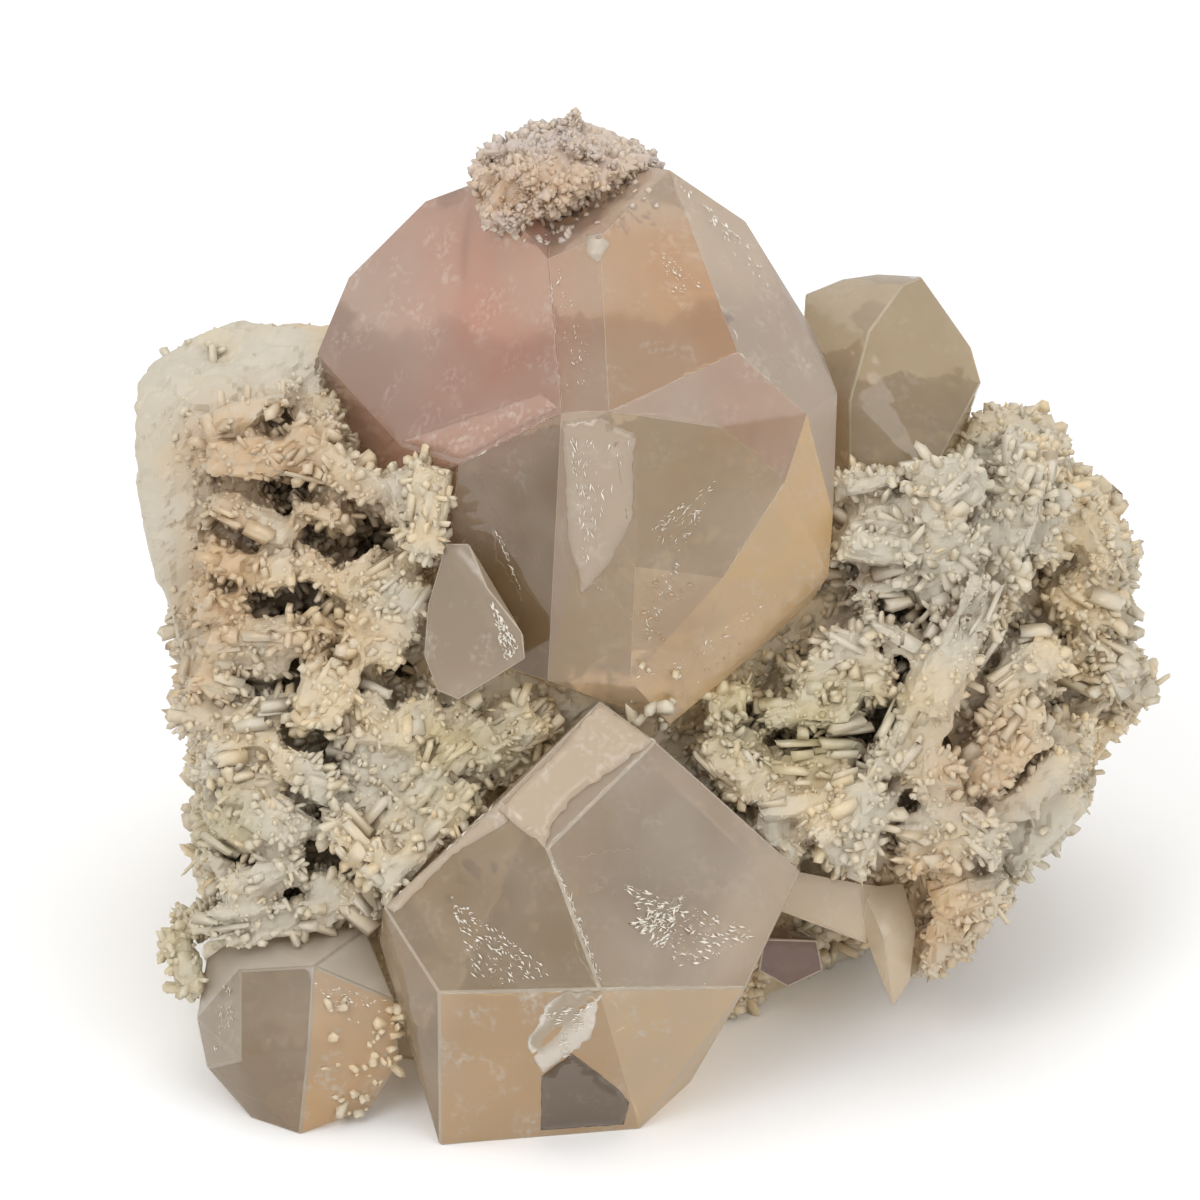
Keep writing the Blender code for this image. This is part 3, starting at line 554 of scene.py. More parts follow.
PATCHES = (
    Patch(Kind.RUST, -10.0, 94.5, 11.0, 4.0, 1.0),
    Patch(Kind.SMOOTH, -44.0, 76.0, 12.0, 7.5),
    Patch(Kind.SMOOTH, -36.0, 79.5, 8.0, 3.5),
    Patch(Kind.SMOOTH, -49.0, 60.0, 4.0, 16.0),
    Patch(Kind.SMOOTH, 40.5, 31.0, 4.5, 6.5),
    Patch(Kind.SMOOTH, 28.0, 44.0, 3.5, 9.0, 0.6),
    Patch(Kind.SMOOTH, 27.0, 60.5, 7.0, 4.0, 0.5),
    Patch(Kind.RUST, -38.0, 68.5, 9.0, 6.0, 1.0),
    Patch(Kind.RUST, -41.5, 56.0, 5.0, 9.0, 1.0),
    Patch(Kind.RUST, -31.0, 62.0, 6.0, 7.0, 0.7),
    Patch(Kind.RUST, -33.0, 50.0, 9.0, 4.0, 0.5),
    Patch(Kind.RUST, 34.0, 38.5, 7.0, 6.5, 0.85),
    Patch(Kind.RUST, 28.5, 23.0, 6.0, 7.0, 0.9),
    Patch(Kind.RUST, -44.0, 46.0, 3.0, 5.0, 0.6),
    Patch(Kind.RUST, -29.0, 12.0, 6.0, 9.0, 0.5),
    Patch(Kind.OLIVE, -16.0, 38.0, 8.0, 6.0, 0.6),
    Patch(Kind.OLIVE, -42.0, 32.0, 4.0, 3.5, 0.6),
    Patch(Kind.OLIVE, 16.0, 42.0, 11.0, 5.5, 0.8),
    Patch(Kind.OLIVE, -45.0, 19.0, 3.5, 5.0, 0.6),
    Patch(Kind.COOL, -44.0, 74.0, 12.0, 12.0),
    Patch(Kind.COOL, -48.0, 56.0, 4.0, 16.0),
    Patch(Kind.COOL, 28.0, 60.0, 9.0, 7.0, 0.8),
    Patch(Kind.COOL, 33.0, 56.0, 6.0, 16.0, 0.7),
    Patch(Kind.COOL, 40.0, 31.0, 6.0, 8.0),
    Patch(Kind.COOL, -36.0, 34.0, 10.0, 8.0, 0.5),
    # Dark hollows, darkened where shut in: partly iron stain, partly painted shade.
    Patch(Kind.DARK_STAIN_AND_SHADE, -35.5, 65.0, 4.0, 2.0),
    Patch(Kind.DARK_STAIN_AND_SHADE, -27.0, 60.0, 4.5, 3.5),
    Patch(Kind.DARK_STAIN_AND_SHADE, -35.0, 52.5, 5.0, 2.2),
    Patch(Kind.DARK_STAIN_AND_SHADE, 31.0, 52.5, 4.5, 2.2),
    Patch(Kind.DARK_STAIN_AND_SHADE, 23.0, 56.6, 5.0, 1.5),
    Patch(Kind.DARK_STAIN_AND_SHADE, 20.0, 40.5, 5.0, 1.8, 0.7),
    Patch(Kind.CREAM, 45.0, 57.0, 7.0, 16.0, 0.8),
    Patch(Kind.CREAM, -21.0, 66.0, 3.0, 8.0),
    Patch(Kind.CREAM, -27.0, 52.0, 6.0, 7.0, 0.6),
    Patch(Kind.CREAM, 29.0, 24.0, 6.0, 4.0, 0.5),
    # Dark hollows: partly iron stain, partly painted shade.
    Patch(Kind.DARK_STAIN_AND_SHADE, -39.0, 68.0, 7.0, 4.0, 0.35),
    Patch(Kind.DARK_STAIN_AND_SHADE, -41.5, 54.0, 4.5, 6.0, 0.35),
)

SHUT_WITHIN = 6 * MM
FRONT_FROM = -30.0
FRONT_FULL = -17.0


def patch_share(kind: Kind, seen: np.ndarray) -> np.ndarray:
    """How much of one kind of patch each point has.

    Args:
        kind: The kind of patch.
        seen: (n, 3) places as View.seen gives them.

    Returns:
        (n,) shares from 0 to 1.
    """
    share = np.zeros(len(seen))
    for patch in PATCHES:
        if patch.kind is kind:
            wide = (seen[:, 0] - patch.across) / patch.wide
            high = (seen[:, 1] - patch.up) / patch.high
            share = np.maximum(share, patch.weight * np.exp(-((wide**2 + high**2) ** 1.5)))
    start = FRONT_FROM - 8.0 if kind is Kind.SMOOTH else FRONT_FROM
    front = np.clip((seen[:, 2] - start) / (FRONT_FULL - FRONT_FROM), 0.0, 1.0)
    return share * front


def closeness(tree: BVHTree, points: np.ndarray, normals: np.ndarray, reach: float) -> np.ndarray:
    """How shut in each point is by the surface around it.

    Args:
        tree: The surface.
        points: (n, 3) points just off the surface.
        normals: (n, 3) directions away from it.
        reach: How far a neighbour still counts, in metres.

    Returns:
        (n,) shares from 0, open, to 1, shut in a gap.
    """
    spread = [Vector(v).normalized() for v in
              ((1, 0.2, 0.3), (-1, -0.3, 0.4), (0.2, 1, 0.3), (-0.3, -1, 0.4), (0.1, 0.1, 1), (0.7, 0.7, 0.8), (-0.7, 0.6, 0.8))]
    share = np.zeros(len(points))
    for index, (point, normal) in enumerate(zip(points.tolist(), normals.tolist())):
        up = Vector(normal)
        side = up.orthogonal().normalized()
        other = up.cross(side)
        start = Vector(point) + up * 0.3 * MM
        shut = 0.0
        for ray in spread:
            hit = tree.ray_cast(start, side * ray.x + other * ray.y + up * ray.z, reach)
            if hit[0] is not None:
                shut += 1.0 - hit[3] / reach
        share[index] = shut / len(spread)
    return share


def albite_values(points: np.ndarray, stain_and_shade: np.ndarray) -> dict[str, np.ndarray]:
    """The stains, tones and painted gap shade that the albite's points carry.

    Args:
        points: (n, 3) coordinates in metres.
        stain_and_shade: (n,) how shut in each point is; it sets the dark brown in the gaps, partly iron stain, partly
            painted shade.

    Returns:
        Values by attribute name.
    """
    seen = View.seen(points)
    wander = np.array([noise.noise(Vector(p) * 110.0) for p in points.tolist()])
    back = np.clip((FRONT_FULL - seen[:, 2]) / 8.0, 0.0, 1.0)
    rust = patch_share(Kind.RUST, seen) + back * np.clip(wander * 1.6, 0.0, 0.6)
    # Painted shade in the gaps and hollows, partly iron stain.
    dark_stain_and_shade = np.clip(stain_and_shade * 1.9 - 0.35, 0.0, 1.0) + patch_share(Kind.DARK_STAIN_AND_SHADE, seen) * np.clip(stain_and_shade * 3, 0.2, 1.0)
    return {
        "rust": np.clip(rust, 0.0, 1.0),
        "olive": np.clip(patch_share(Kind.OLIVE, seen) + back * np.clip(-wander - 0.25, 0.0, 0.5), 0.0, 1.0),
        "stain_and_shade": np.clip(dark_stain_and_shade, 0.0, 1.0),
        "zone": patch_share(Kind.CREAM, seen) * 0.5 - patch_share(Kind.COOL, seen) * 0.9,
    }


@dataclass
class RockBody:
    """The solid mass of a node, broken into small crystalline facets."""

    node: str
    piece: str
    slot: str
    finish: AlbiteFinish
    cell: float = 0.55
    facet: float = 1.3
    rough: float = 0.32
    sunk: float = 0.15
    seed: int = 3
    ribs: bpy.types.Mesh | None = None

    def build(self) -> bpy.types.Mesh:
        """Build the mass as one piece for the left half and one for the right.

        Returns:
            The whole surface, for smaller crystals to grow on.
        """
        shape = bmesh.new()
        shape.from_mesh(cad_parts[self.node].data)
        if self.ribs:
            shape.from_mesh(self.ribs)
        joined = bpy.data.meshes.new(self.piece)
        shape.to_mesh(joined)
        shape.free()
        body = Mesh.show(self.piece, joined)
        remesh = body.modifiers.new("Even", "REMESH")
        remesh.mode = "VOXEL"
        remesh.voxel_size = self.cell * MM
        graph = bpy.context.evaluated_depsgraph_get()
        mesh = bpy.data.meshes.new_from_object(body.evaluated_get(graph))
        bpy.data.objects.remove(body)
        points, normals = Mesh.points(mesh), Mesh.normals(mesh)
        # How shut in each point is, for the painted gap shade, partly iron stain.
        stain_and_shade = closeness(Trees.keep(self.piece, mesh), points, normals, SHUT_WITHIN)
        seen = View.seen(points)
        moved = points + normals * self.relief(points, seen)[:, None] * MM
        moved[:, 2] = np.where(points[:, 2] < 0.4 * MM, points[:, 2], np.maximum(moved[:, 2], 0.0))
        mesh.vertices.foreach_set("co", moved.astype(np.float32).ravel())
        crystals = Trees.over(*CRYSTALS)
        # Less of the painted gap shade on the pocket walls round the crystals.
        wall = np.array([crystals.find_nearest(p, 1.3 * MM)[0] is not None for p in points.tolist()])
        values = albite_values(points, np.where(wall, stain_and_shade * 0.2, stain_and_shade))
        Mesh.carry(mesh, "tone", values.pop("zone"))
        Mesh.carry(mesh, "tip", np.full(len(points), 0.25))
        for name, share in values.items():
            Mesh.carry(mesh, name, share)
        mesh.materials.clear()
        mesh.materials.append(self.finish.material())
        self.split(mesh)
        return mesh

    def relief(self, points: np.ndarray, seen: np.ndarray) -> np.ndarray:
        """How far each point moves out, in millimetres: tilted facets on a sunk surface."""
        smooth = patch_share(Kind.SMOOTH, seen)
        grain = self.facets(points, self.facet, self.seed) * self.rough
        tall = points * (1.0, 1.0, 0.4)
        steps = self.facets(tall, self.facet * 2.4, self.seed + 1) * self.rough * 1.7
        soft = np.array([noise.noise(Vector(p) * 160.0) for p in points.tolist()])
        relief = grain * (1.0 - 0.6 * smooth) + steps * smooth + soft * 0.6 - self.sunk * (1.0 - smooth)
        return np.clip(relief, -1.0, 0.55)

    @staticmethod
    def facets(points: np.ndarray, size: float, seed: int) -> np.ndarray:
        """The height of randomly tilted facets of this size in millimetres, one for each point."""
        dice = np.random.default_rng(seed)
        low, high = points.min(axis=0), points.max(axis=0)
        volume = float(np.prod((high - low) / MM))
        count = int(volume / size**3 / 3)
        centres = dice.uniform(low, high, (count, 3))
        slopes = dice.normal(size=(count, 3))
        slopes /= np.linalg.norm(slopes, axis=1)[:, None]
        lift = dice.uniform(-0.5, 0.5, count)
        tree = KDTree(count)
        for index, centre in enumerate(centres.tolist()):
            tree.insert(centre, index)
        tree.balance()
        nearest = np.array([tree.find(point)[1] for point in points.tolist()])
        tilt = ((points - centres[nearest]) / MM * slopes[nearest]).sum(axis=1) / size
        return tilt + lift[nearest]

    def split(self, mesh: bpy.types.Mesh) -> None:
        """Cut the mass in two at its middle, so that neither piece is too large."""
        for side, name in ((-1.0, "left"), (1.0, "right")):
            half = mesh.copy()
            shape = bmesh.new()
            shape.from_mesh(half)
            bmesh.ops.bisect_plane(
                shape,
                geom=shape.verts[:] + shape.edges[:] + shape.faces[:],
                dist=1e-7,
                plane_co=(-1.0 * MM, 0.0, 0.0),
                plane_no=(-side, 0.0, 0.0),
                clear_outer=True,
            )
            shape.to_mesh(half)
            shape.free()
            finish_piece(Mesh.show(f"{self.piece}_{name}", half), self.node)


def finish_piece(piece: bpy.types.Object, node: str = "") -> None:
    """Tie a piece to the frame: its body and the node it stands for."""
    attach(piece, ROOT)
    if node:
        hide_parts(node)
    piece.data.calc_loop_triangles()
    log.info("%s: %d triangles", piece.name, len(piece.data.loop_triangles))


@dataclass
class Growth:
    """Many small blunt crystals as one mesh."""

    piece: str
    slot: str
    material: bpy.types.Material
    seed: int
    shoulder: float = 0.8
    ridge: float = 0.55
    uneven: float = 0.2
    base: float = -0.35

    def shape(self, roots, tips, lengths, widths, flat, sides=None) -> tuple[np.ndarray, np.ndarray]:
        """The points of every crystal.

        Args:
            roots: (n, 3) where each stands, in metres.
            tips: (n, 3) unit directions that they point in.
            lengths: (n,) in metres.
            widths: (n,) half widths in metres.
            flat: (n,) how thin each is against its width.
            sides: (n, 3) which way each is broad, or None for any.

        Returns:
            Points as (n, 10, 3) and how near the tip each is, as (n, 10).
        """
        dice = np.random.default_rng(self.seed)
        count = len(roots)
        turn = dice.normal(size=(count, 3))
        if sides is not None:
            turn = np.cross(sides, tips) + turn * 0.22
        side = np.cross(tips, turn)
        side /= np.linalg.norm(side, axis=1)[:, None]
        other = np.cross(tips, side)
        corners = [(-1, -1), (1, -1), (1, 1), (-1, 1)]
        form = [(x, y, self.base) for x, y in corners]
        form += [(x * 0.95, y * 0.95, self.shoulder) for x, y in corners]
        form += [(-self.ridge, 0.0, 1.0), (self.ridge, 0.0, 1.0)]
        stray = dice.normal(scale=self.uneven, size=(count, 10, 3)) * (1, 1, 0.35)
        unit = np.array(form)[None] + stray
        x = unit[:, :, 0, None] * widths[:, None, None] * side[:, None]
        y = unit[:, :, 1, None] * (widths * flat)[:, None, None] * other[:, None]
        z = unit[:, :, 2, None] * lengths[:, None, None] * tips[:, None]
        near = np.repeat(np.array([0.0] * 4 + [0.8] * 4 + [1.0] * 2)[None], count, axis=0)
        return roots[:, None] + x + y + z, near

    FACES = ((0, 1, 5, 4), (1, 2, 6, 5), (2, 3, 7, 6), (3, 0, 4, 7), (3, 2, 1, 0),
             (4, 5, 9, 8), (6, 7, 8, 9), (5, 6, 9), (7, 4, 8))

    def build(self, roots, tips, lengths, widths, flat, values: dict, sides=None) -> bpy.types.Object:
        """Build the crystals as a piece; takes what mesh() takes."""
        mesh = self.mesh(roots, tips, lengths, widths, flat, values, sides)
        piece = Mesh.show(self.piece, mesh)
        finish_piece(piece)
        return piece

    def mesh(self, roots, tips, lengths, widths, flat, values: dict, sides=None) -> bpy.types.Mesh:
        """Build the mesh and store what its crystals carry.

        Args:
            roots: (n, 3) where each stands, in metres.
            tips: (n, 3) unit directions.
            lengths: (n,) in metres.
            widths: (n,) half widths in metres.
            flat: (n,) thinness.
            values: What each crystal carries, by attribute name.
            sides: (n, 3) which way each is broad, or None for any.

        Returns:
            The mesh.
        """
        points, near = self.shape(roots, tips, lengths, widths, flat, sides)
        count = len(roots)
        points[:, :, 2] = np.maximum(points[:, :, 2], 0.0)
        flat_faces = np.array([index for face in self.FACES for index in face])
        sizes = np.array([len(face) for face in self.FACES])
        corners = (flat_faces[None] + 10 * np.arange(count)[:, None]).ravel()
        mesh = Mesh.new(self.piece, points.reshape(-1, 3), corners, np.tile(sizes, count))
        for name, share in values.items():
            Mesh.carry(mesh, name, np.repeat(share, 10))
        Mesh.carry(mesh, "tip", near.ravel())
        mesh.materials.append(self.material)
        return mesh


@dataclass
class DruseField:
    """Small crystals sown over part of a node's surface."""

    piece: str
    node: str
    slot: str
    count: int
    length: tuple[float, float]
    width: tuple[float, float]
    region: tuple[float, float, float, float]
    material: bpy.types.Material
    seed: int
    flat: tuple[float, float] = (0.5, 1.0)
    lean: float = 0.55
    front: bool = True
    clear_of: float = 0.5
    bare: float = 0.92
    surface: bpy.types.Mesh | None = None

    def build(self) -> bpy.types.Object:
        """Sow the crystals and build their mesh."""
        dice = np.random.default_rng(self.seed)
        points, normals = self.sown(dice)
        count = len(points)
        tips = normals + dice.normal(scale=self.lean, size=(count, 3))
        tips /= np.linalg.norm(tips, axis=1)[:, None]
        share = dice.random(count) ** 1.6
        coarse = np.array([noise.noise(Vector(p) * 170.0 + Vector((5, 1, 2))) for p in points.tolist()])
        share = np.clip(share * (1.0 + 1.3 * coarse), 0.0, 1.3)
        lengths = (self.length[0] + (self.length[1] - self.length[0]) * share) * MM
        widths = dice.uniform(*self.width, count) * (0.7 + 0.6 * share) * MM
        tree = Trees.keep(self.piece, self.surface) if self.surface else Trees.over(self.node)
        # How shut in each point is: it shortens the crystals and sets their painted gap shade, partly iron stain.
        stain_and_shade = closeness(tree, points, normals, SHUT_WITHIN)
        lengths *= 1.0 - 0.35 * stain_and_shade
        values = albite_values(points, stain_and_shade)
        values["tone"] = values.pop("zone") + dice.normal(scale=0.45, size=count)
        roots = points - normals * 0.45 * MM
        growth = Growth(self.piece, self.slot, self.material, self.seed)
        return growth.build(roots, tips, lengths, widths, dice.uniform(*self.flat, count), values)

    def sown(self, dice: np.random.Generator) -> tuple[np.ndarray, np.ndarray]:
        """Random points of the surface inside the region, off the crystals and the smooth parts."""
        mesh = self.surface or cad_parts[self.node].data
        points, triangles = Mesh.points(mesh), Mesh.triangles(mesh)
        a, b, c = (points[triangles[:, i]] for i in range(3))
        cross = np.cross(b - a, c - a)
        area = np.linalg.norm(cross, axis=1)
        away = cross / np.maximum(area, 1e-15)[:, None]
        middle = View.seen((a + b + c) / 3)
        left, right, low, high = self.region
        margin = 8.0
        inside = (middle[:, 0] > left - margin) & (middle[:, 0] < right + margin)
        inside &= (middle[:, 1] > low - margin) & (middle[:, 1] < high + margin)
        weight = np.where(inside, area, 0.0)
        picked = dice.choice(len(triangles), size=self.count * 3, p=weight / weight.sum())
        u, v = dice.random((2, len(picked)))
        over = u + v > 1
        u, v = np.where(over, 1 - u, u), np.where(over, 1 - v, v)
        spots = a[picked] + (b - a)[picked] * u[:, None] + (c - a)[picked] * v[:, None]
        away = away[picked]
        seen = View.seen(spots)
        keep = (seen[:, 0] > left) & (seen[:, 0] < right) & (seen[:, 1] > low) & (seen[:, 1] < high)
        keep &= (seen[:, 2] > FRONT_FULL - 5) if self.front else (seen[:, 2] < FRONT_FULL)
        keep &= spots[:, 2] > 0.6 * MM
        keep &= dice.random(len(spots)) > patch_share(Kind.SMOOTH, seen) * self.bare
        keep &= noise_gate(spots, dice)
        spots, away = spots[keep], away[keep]
        crystals = Trees.over(*CRYSTALS)
        clear = np.array([
            not self.clear_of or crystals.find_nearest(spot, self.clear_of * MM)[0] is None
            for spot in spots.tolist()
        ])
        return spots[clear][: self.count], away[clear][: self.count]


def noise_gate(spots: np.ndarray, dice: np.random.Generator) -> np.ndarray:
    """Which points stay, so that the small crystals stand in clumps."""
    clump = np.array([noise.noise(Vector(p) * 260.0) for p in spots.tolist()])
    return dice.random(len(spots)) < np.clip(0.75 + clump * 1.4, 0.15, 1.0)


@dataclass
class BladeBundles:
    """Bundles of long blades that lie along the albite's plates, each given by its two ends,
    how far out it stands and how wide the bundle is."""

    material: bpy.types.Material
    seed: int = 71
    per_width: float = 1.2

    ROWS = (
        (-44.0, 68.5, -28.5, 66.0, 3.0, 3.2), (-35.5, 71.5, -29.5, 67.5, 3.5, 3.0),
        (-43.5, 64.0, -34.0, 60.0, 2.5, 3.0), (-29.5, 54.5, -22.5, 59.5, 4.0, 3.0),
        (-21.5, 58.0, -20.0, 68.0, 8.0, 4.2), (-44.0, 50.0, -29.5, 50.5, 3.0, 2.2),
        (-34.0, 40.0, -29.0, 48.0, 4.5, 3.2), (-29.0, 48.0, -22.5, 56.5, 5.0, 4.5),
        (-29.5, 52.0, -23.0, 50.0, 4.5, 4.0), (-44.5, 47.0, -40.0, 45.0, 1.5, 3.5),
        (-45.5, 43.0, -41.5, 41.5, 1.0, 2.5), (-41.0, 42.5, -33.0, 44.0, 2.0, 2.2),
        (-40.5, 48.0, -35.0, 47.5, 1.0, 3.0), (-44.0, 39.0, -35.0, 40.5, 2.0, 2.2),
        (-44.5, 36.5, -36.0, 37.0, 1.5, 2.0), (-42.0, 34.5, -35.0, 36.0, 2.5, 2.5),
        (-37.0, 39.5, -29.5, 34.0, 4.5, 2.5), (-31.5, 32.5, -23.0, 25.0, 6.0, 4.0),
        (-26.5, 29.5, -14.0, 43.5, 4.5, 3.5), (-23.5, 26.5, -16.0, 35.0, 6.0, 2.8),
        (-18.0, 37.0, -9.5, 43.0, 3.5, 4.5), (-29.5, 33.5, -22.0, 32.5, 3.0, 4.0),
        (-30.0, 38.0, -22.0, 36.0, 3.0, 3.0), (-31.0, 40.5, -23.0, 39.0, 2.5, 2.5),
        (-23.5, 44.0, -23.5, 39.0, 3.5, 1.8), (-21.2, 45.0, -20.5, 39.0, 3.5, 2.0),
        (-29.5, 44.0, -25.5, 42.0, 3.0, 4.0), (-39.0, 34.0, -33.0, 30.0, 4.0, 3.5),
        (-42.5, 32.5, -35.0, 28.0, 1.5, 4.0), (-42.5, 25.0, -34.0, 27.5, 2.5, 2.5),
        (-46.5, 21.0, -30.0, 23.0, 1.0, 2.5), (-46.8, 20.5, -44.2, 14.5, -2.0, 2.4),
        (-34.0, 26.0, -24.0, 23.0, 1.0, 3.0), (-28.5, 25.0, -24.5, 21.5, 2.0, 3.0),
        (19.0, 65.0, 26.0, 66.0, 2.0, 2.8), (25.5, 66.2, 34.5, 66.5, 1.5, 2.5),
        (30.0, 63.0, 33.0, 66.0, 3.0, 4.0), (22.0, 62.5, 28.5, 64.0, 1.0, 2.5),
        (19.0, 59.5, 27.5, 58.5, 3.0, 3.2), (20.5, 61.5, 26.5, 60.5, 1.5, 2.0),
        (27.0, 61.0, 34.5, 58.0, 2.0, 4.0), (21.0, 54.5, 29.5, 56.5, 1.5, 3.0),
        (27.0, 54.0, 34.0, 56.0, 1.0, 3.5), (40.0, 70.0, 34.5, 54.0, -1.0, 5.0),
        (35.0, 56.0, 24.0, 35.0, 2.5, 6.0), (23.5, 36.0, 20.0, 27.0, 1.5, 5.0),
        (22.0, 52.5, 28.5, 49.0, 2.0, 2.5), (18.5, 50.0, 23.5, 48.0, 1.5, 2.5),
        (15.0, 46.0, 26.0, 46.5, 1.5, 3.0), (12.0, 42.0, 23.0, 43.0, 2.0, 3.0),
        (6.0, 40.5, 12.0, 35.0, 2.0, 4.0), (12.0, 37.5, 22.0, 38.5, 1.5, 3.0),
        (12.0, 33.0, 23.0, 35.5, 2.5, 3.2), (11.0, 32.0, 16.0, 27.5, 1.5, 2.5),
        (16.5, 30.0, 21.0, 34.0, 2.5, 3.5), (28.5, 35.0, 36.0, 29.0, 1.0, 2.5),
        (25.5, 32.5, 32.5, 29.0, 0.5, 2.5), (26.5, 36.5, 32.0, 37.5, 2.5, 3.0),
        (32.0, 36.0, 40.0, 44.0, 0.0, 6.0), (36.0, 48.0, 42.0, 49.0, -2.0, 4.0),
        (35.0, 44.0, 40.5, 48.0, -0.5, 3.0), (32.0, 32.0, 40.0, 34.0, -3.0, 3.0),
        (26.5, 28.0, 33.5, 29.0, 0.0, 3.0), (29.0, 24.0, 37.0, 25.0, -3.0, 3.5),
        (29.0, 21.0, 34.0, 21.0, -5.0, 3.0), (43.0, 63.0, 48.0, 56.0, -9.0, 4.5),
        (42.0, 56.0, 49.0, 52.0, -9.0, 4.5), (43.0, 50.0, 49.5, 45.0, -9.0, 4.5),
        (38.0, 62.0, 44.0, 60.0, -6.0, 4.0), (40.0, 41.0, 46.0, 40.0, -7.0, 4.0),
    )

    def ribs(self) -> bpy.types.Mesh:
        """The broad laths of every bundle, as one mesh to be grown into the mass."""
        dice = np.random.default_rng(self.seed + 1)
        laths = []
        for row in self.ROWS:
            count = max(2, round(row[5] / 1.25))
            for number in range(count):
                flank = ((number + 0.5) / count - 0.5) * row[5] + dice.normal(scale=0.2)
                drop = dice.uniform(0.0, 1.2) + abs(flank) * 0.45
                laths.append(self.lath(row, dice, flank, drop, dice.uniform(0.6, 1.0), None, 0.08))
        laths = [lath for lath in laths if self.is_clear(lath[0], lath[1], lath[2], 1.1)]
        roots, tips, lengths, sides = (np.array([lath[i] for lath in laths]) for i in (0, 1, 2, 3))
        widths = dice.uniform(0.75, 1.4, len(roots)) * MM
        growth = Growth("albite_ribs", "albite", self.material, self.seed, 0.9, 0.8, 0.2, 0.0)
        return growth.mesh(roots, tips, lengths, widths, dice.uniform(0.5, 0.9, len(roots)), {}, sides)

    def build(self) -> bpy.types.Object:
        """Lay the small blades along the bundles and build their mesh."""
        dice = np.random.default_rng(self.seed)
        laths = []
        for row in self.ROWS:
            leaf = (dice.normal(), dice.normal())
            reach = math.hypot(row[2] - row[0], row[3] - row[1])
            for _ in range(int(self.per_width * row[5] * max(reach, 6.0) / 5.0)):
                flank = dice.uniform(-0.6, 0.6) * row[5]
                drop = dice.uniform(-0.6, 0.9) + abs(flank) * 0.45
                laths.append(self.lath(row, dice, flank, drop, dice.uniform(1.0, 3.8) / reach, leaf, 0.13))
        laths = [lath for lath in laths if self.is_clear(lath[0], lath[1], lath[2], 0.7)]
        roots, tips, lengths, sides = (np.array([lath[i] for lath in laths]) for i in (0, 1, 2, 3))
        outward = np.repeat(np.array(View.TOWARD)[None], len(roots), axis=0)
        # How shut in each blade is, for its painted gap shade, partly iron stain.
        stain_and_shade = closeness(Trees.over("albite_matrix"), roots + outward * MM, outward, SHUT_WITHIN)
        values = albite_values(roots, stain_and_shade)
        values["tone"] = values.pop("zone") + dice.normal(scale=0.4, size=len(roots))
        growth = Growth("albite_blades", "albite", self.material, self.seed, 0.9, 0.8, 0.22, -0.1)
        widths = dice.uniform(0.3, 0.8, len(roots)) * MM
        return growth.build(roots, tips, lengths, widths, dice.uniform(0.35, 0.8, len(roots)), values, sides)

    @staticmethod
    def lath(row, dice, flank: float, drop: float, share: float, leaf, stray: float) -> tuple:
        """One blade of a bundle.

        Args:
            row: The bundle.
            dice: The random numbers to use.
            flank: How far beside the bundle's middle it lies, in millimetres.
            drop: How far under the bundle's front, in millimetres.
            share: How much of the bundle's length it has.
            leaf: Which way it is broad, as parts across and toward, or None for any.
            stray: How far its direction strays.

        Returns:
            Its root, its unit direction, its length and which way it is broad.
        """
        x0, y0, x1, y1, out, _ = row
        toward = np.array(View.TOWARD)
        start, end = np.array(View.place(x0, y0, out)), np.array(View.place(x1, y1, out))
        reach = np.linalg.norm(end - start)
        along = (end - start) / reach
        side = np.cross(along, toward)
        side /= np.linalg.norm(side)
        length = min(share, 1.0) * reach
        at = dice.uniform(0.0, reach - length) if length < reach else 0.0
        forward = dice.random() < 0.5
        base = start + along * (at if forward else reach - at)
        tip = (along if forward else -along) + dice.normal(scale=stray, size=3) + toward * 0.03
        across, out = leaf or (dice.normal(), dice.normal())
        broad = side * across + toward * out
        root = base + side * flank * MM - toward * drop * MM
        return root, tip / np.linalg.norm(tip), length, broad / np.linalg.norm(broad)

    @staticmethod
    def is_clear(root: np.ndarray, tip: np.ndarray, length: float, gap: float) -> bool:
        """Whether a blade keeps so many millimetres away from the crystals."""
        crystals = Trees.over(*CRYSTALS)
        places = (root + tip * length * part for part in (0.0, 0.33, 0.66, 1.0))
        return all(crystals.find_nearest(place, gap * MM)[0] is None for place in places)


# Crystals


@dataclass(frozen=True)
class Facet:
    """The colour of the crystal's faces nearest to this place of the tilted view, and how
    frosted they are."""

    across: float
    up: float
    colour: Colour
    frost: float = 0.0


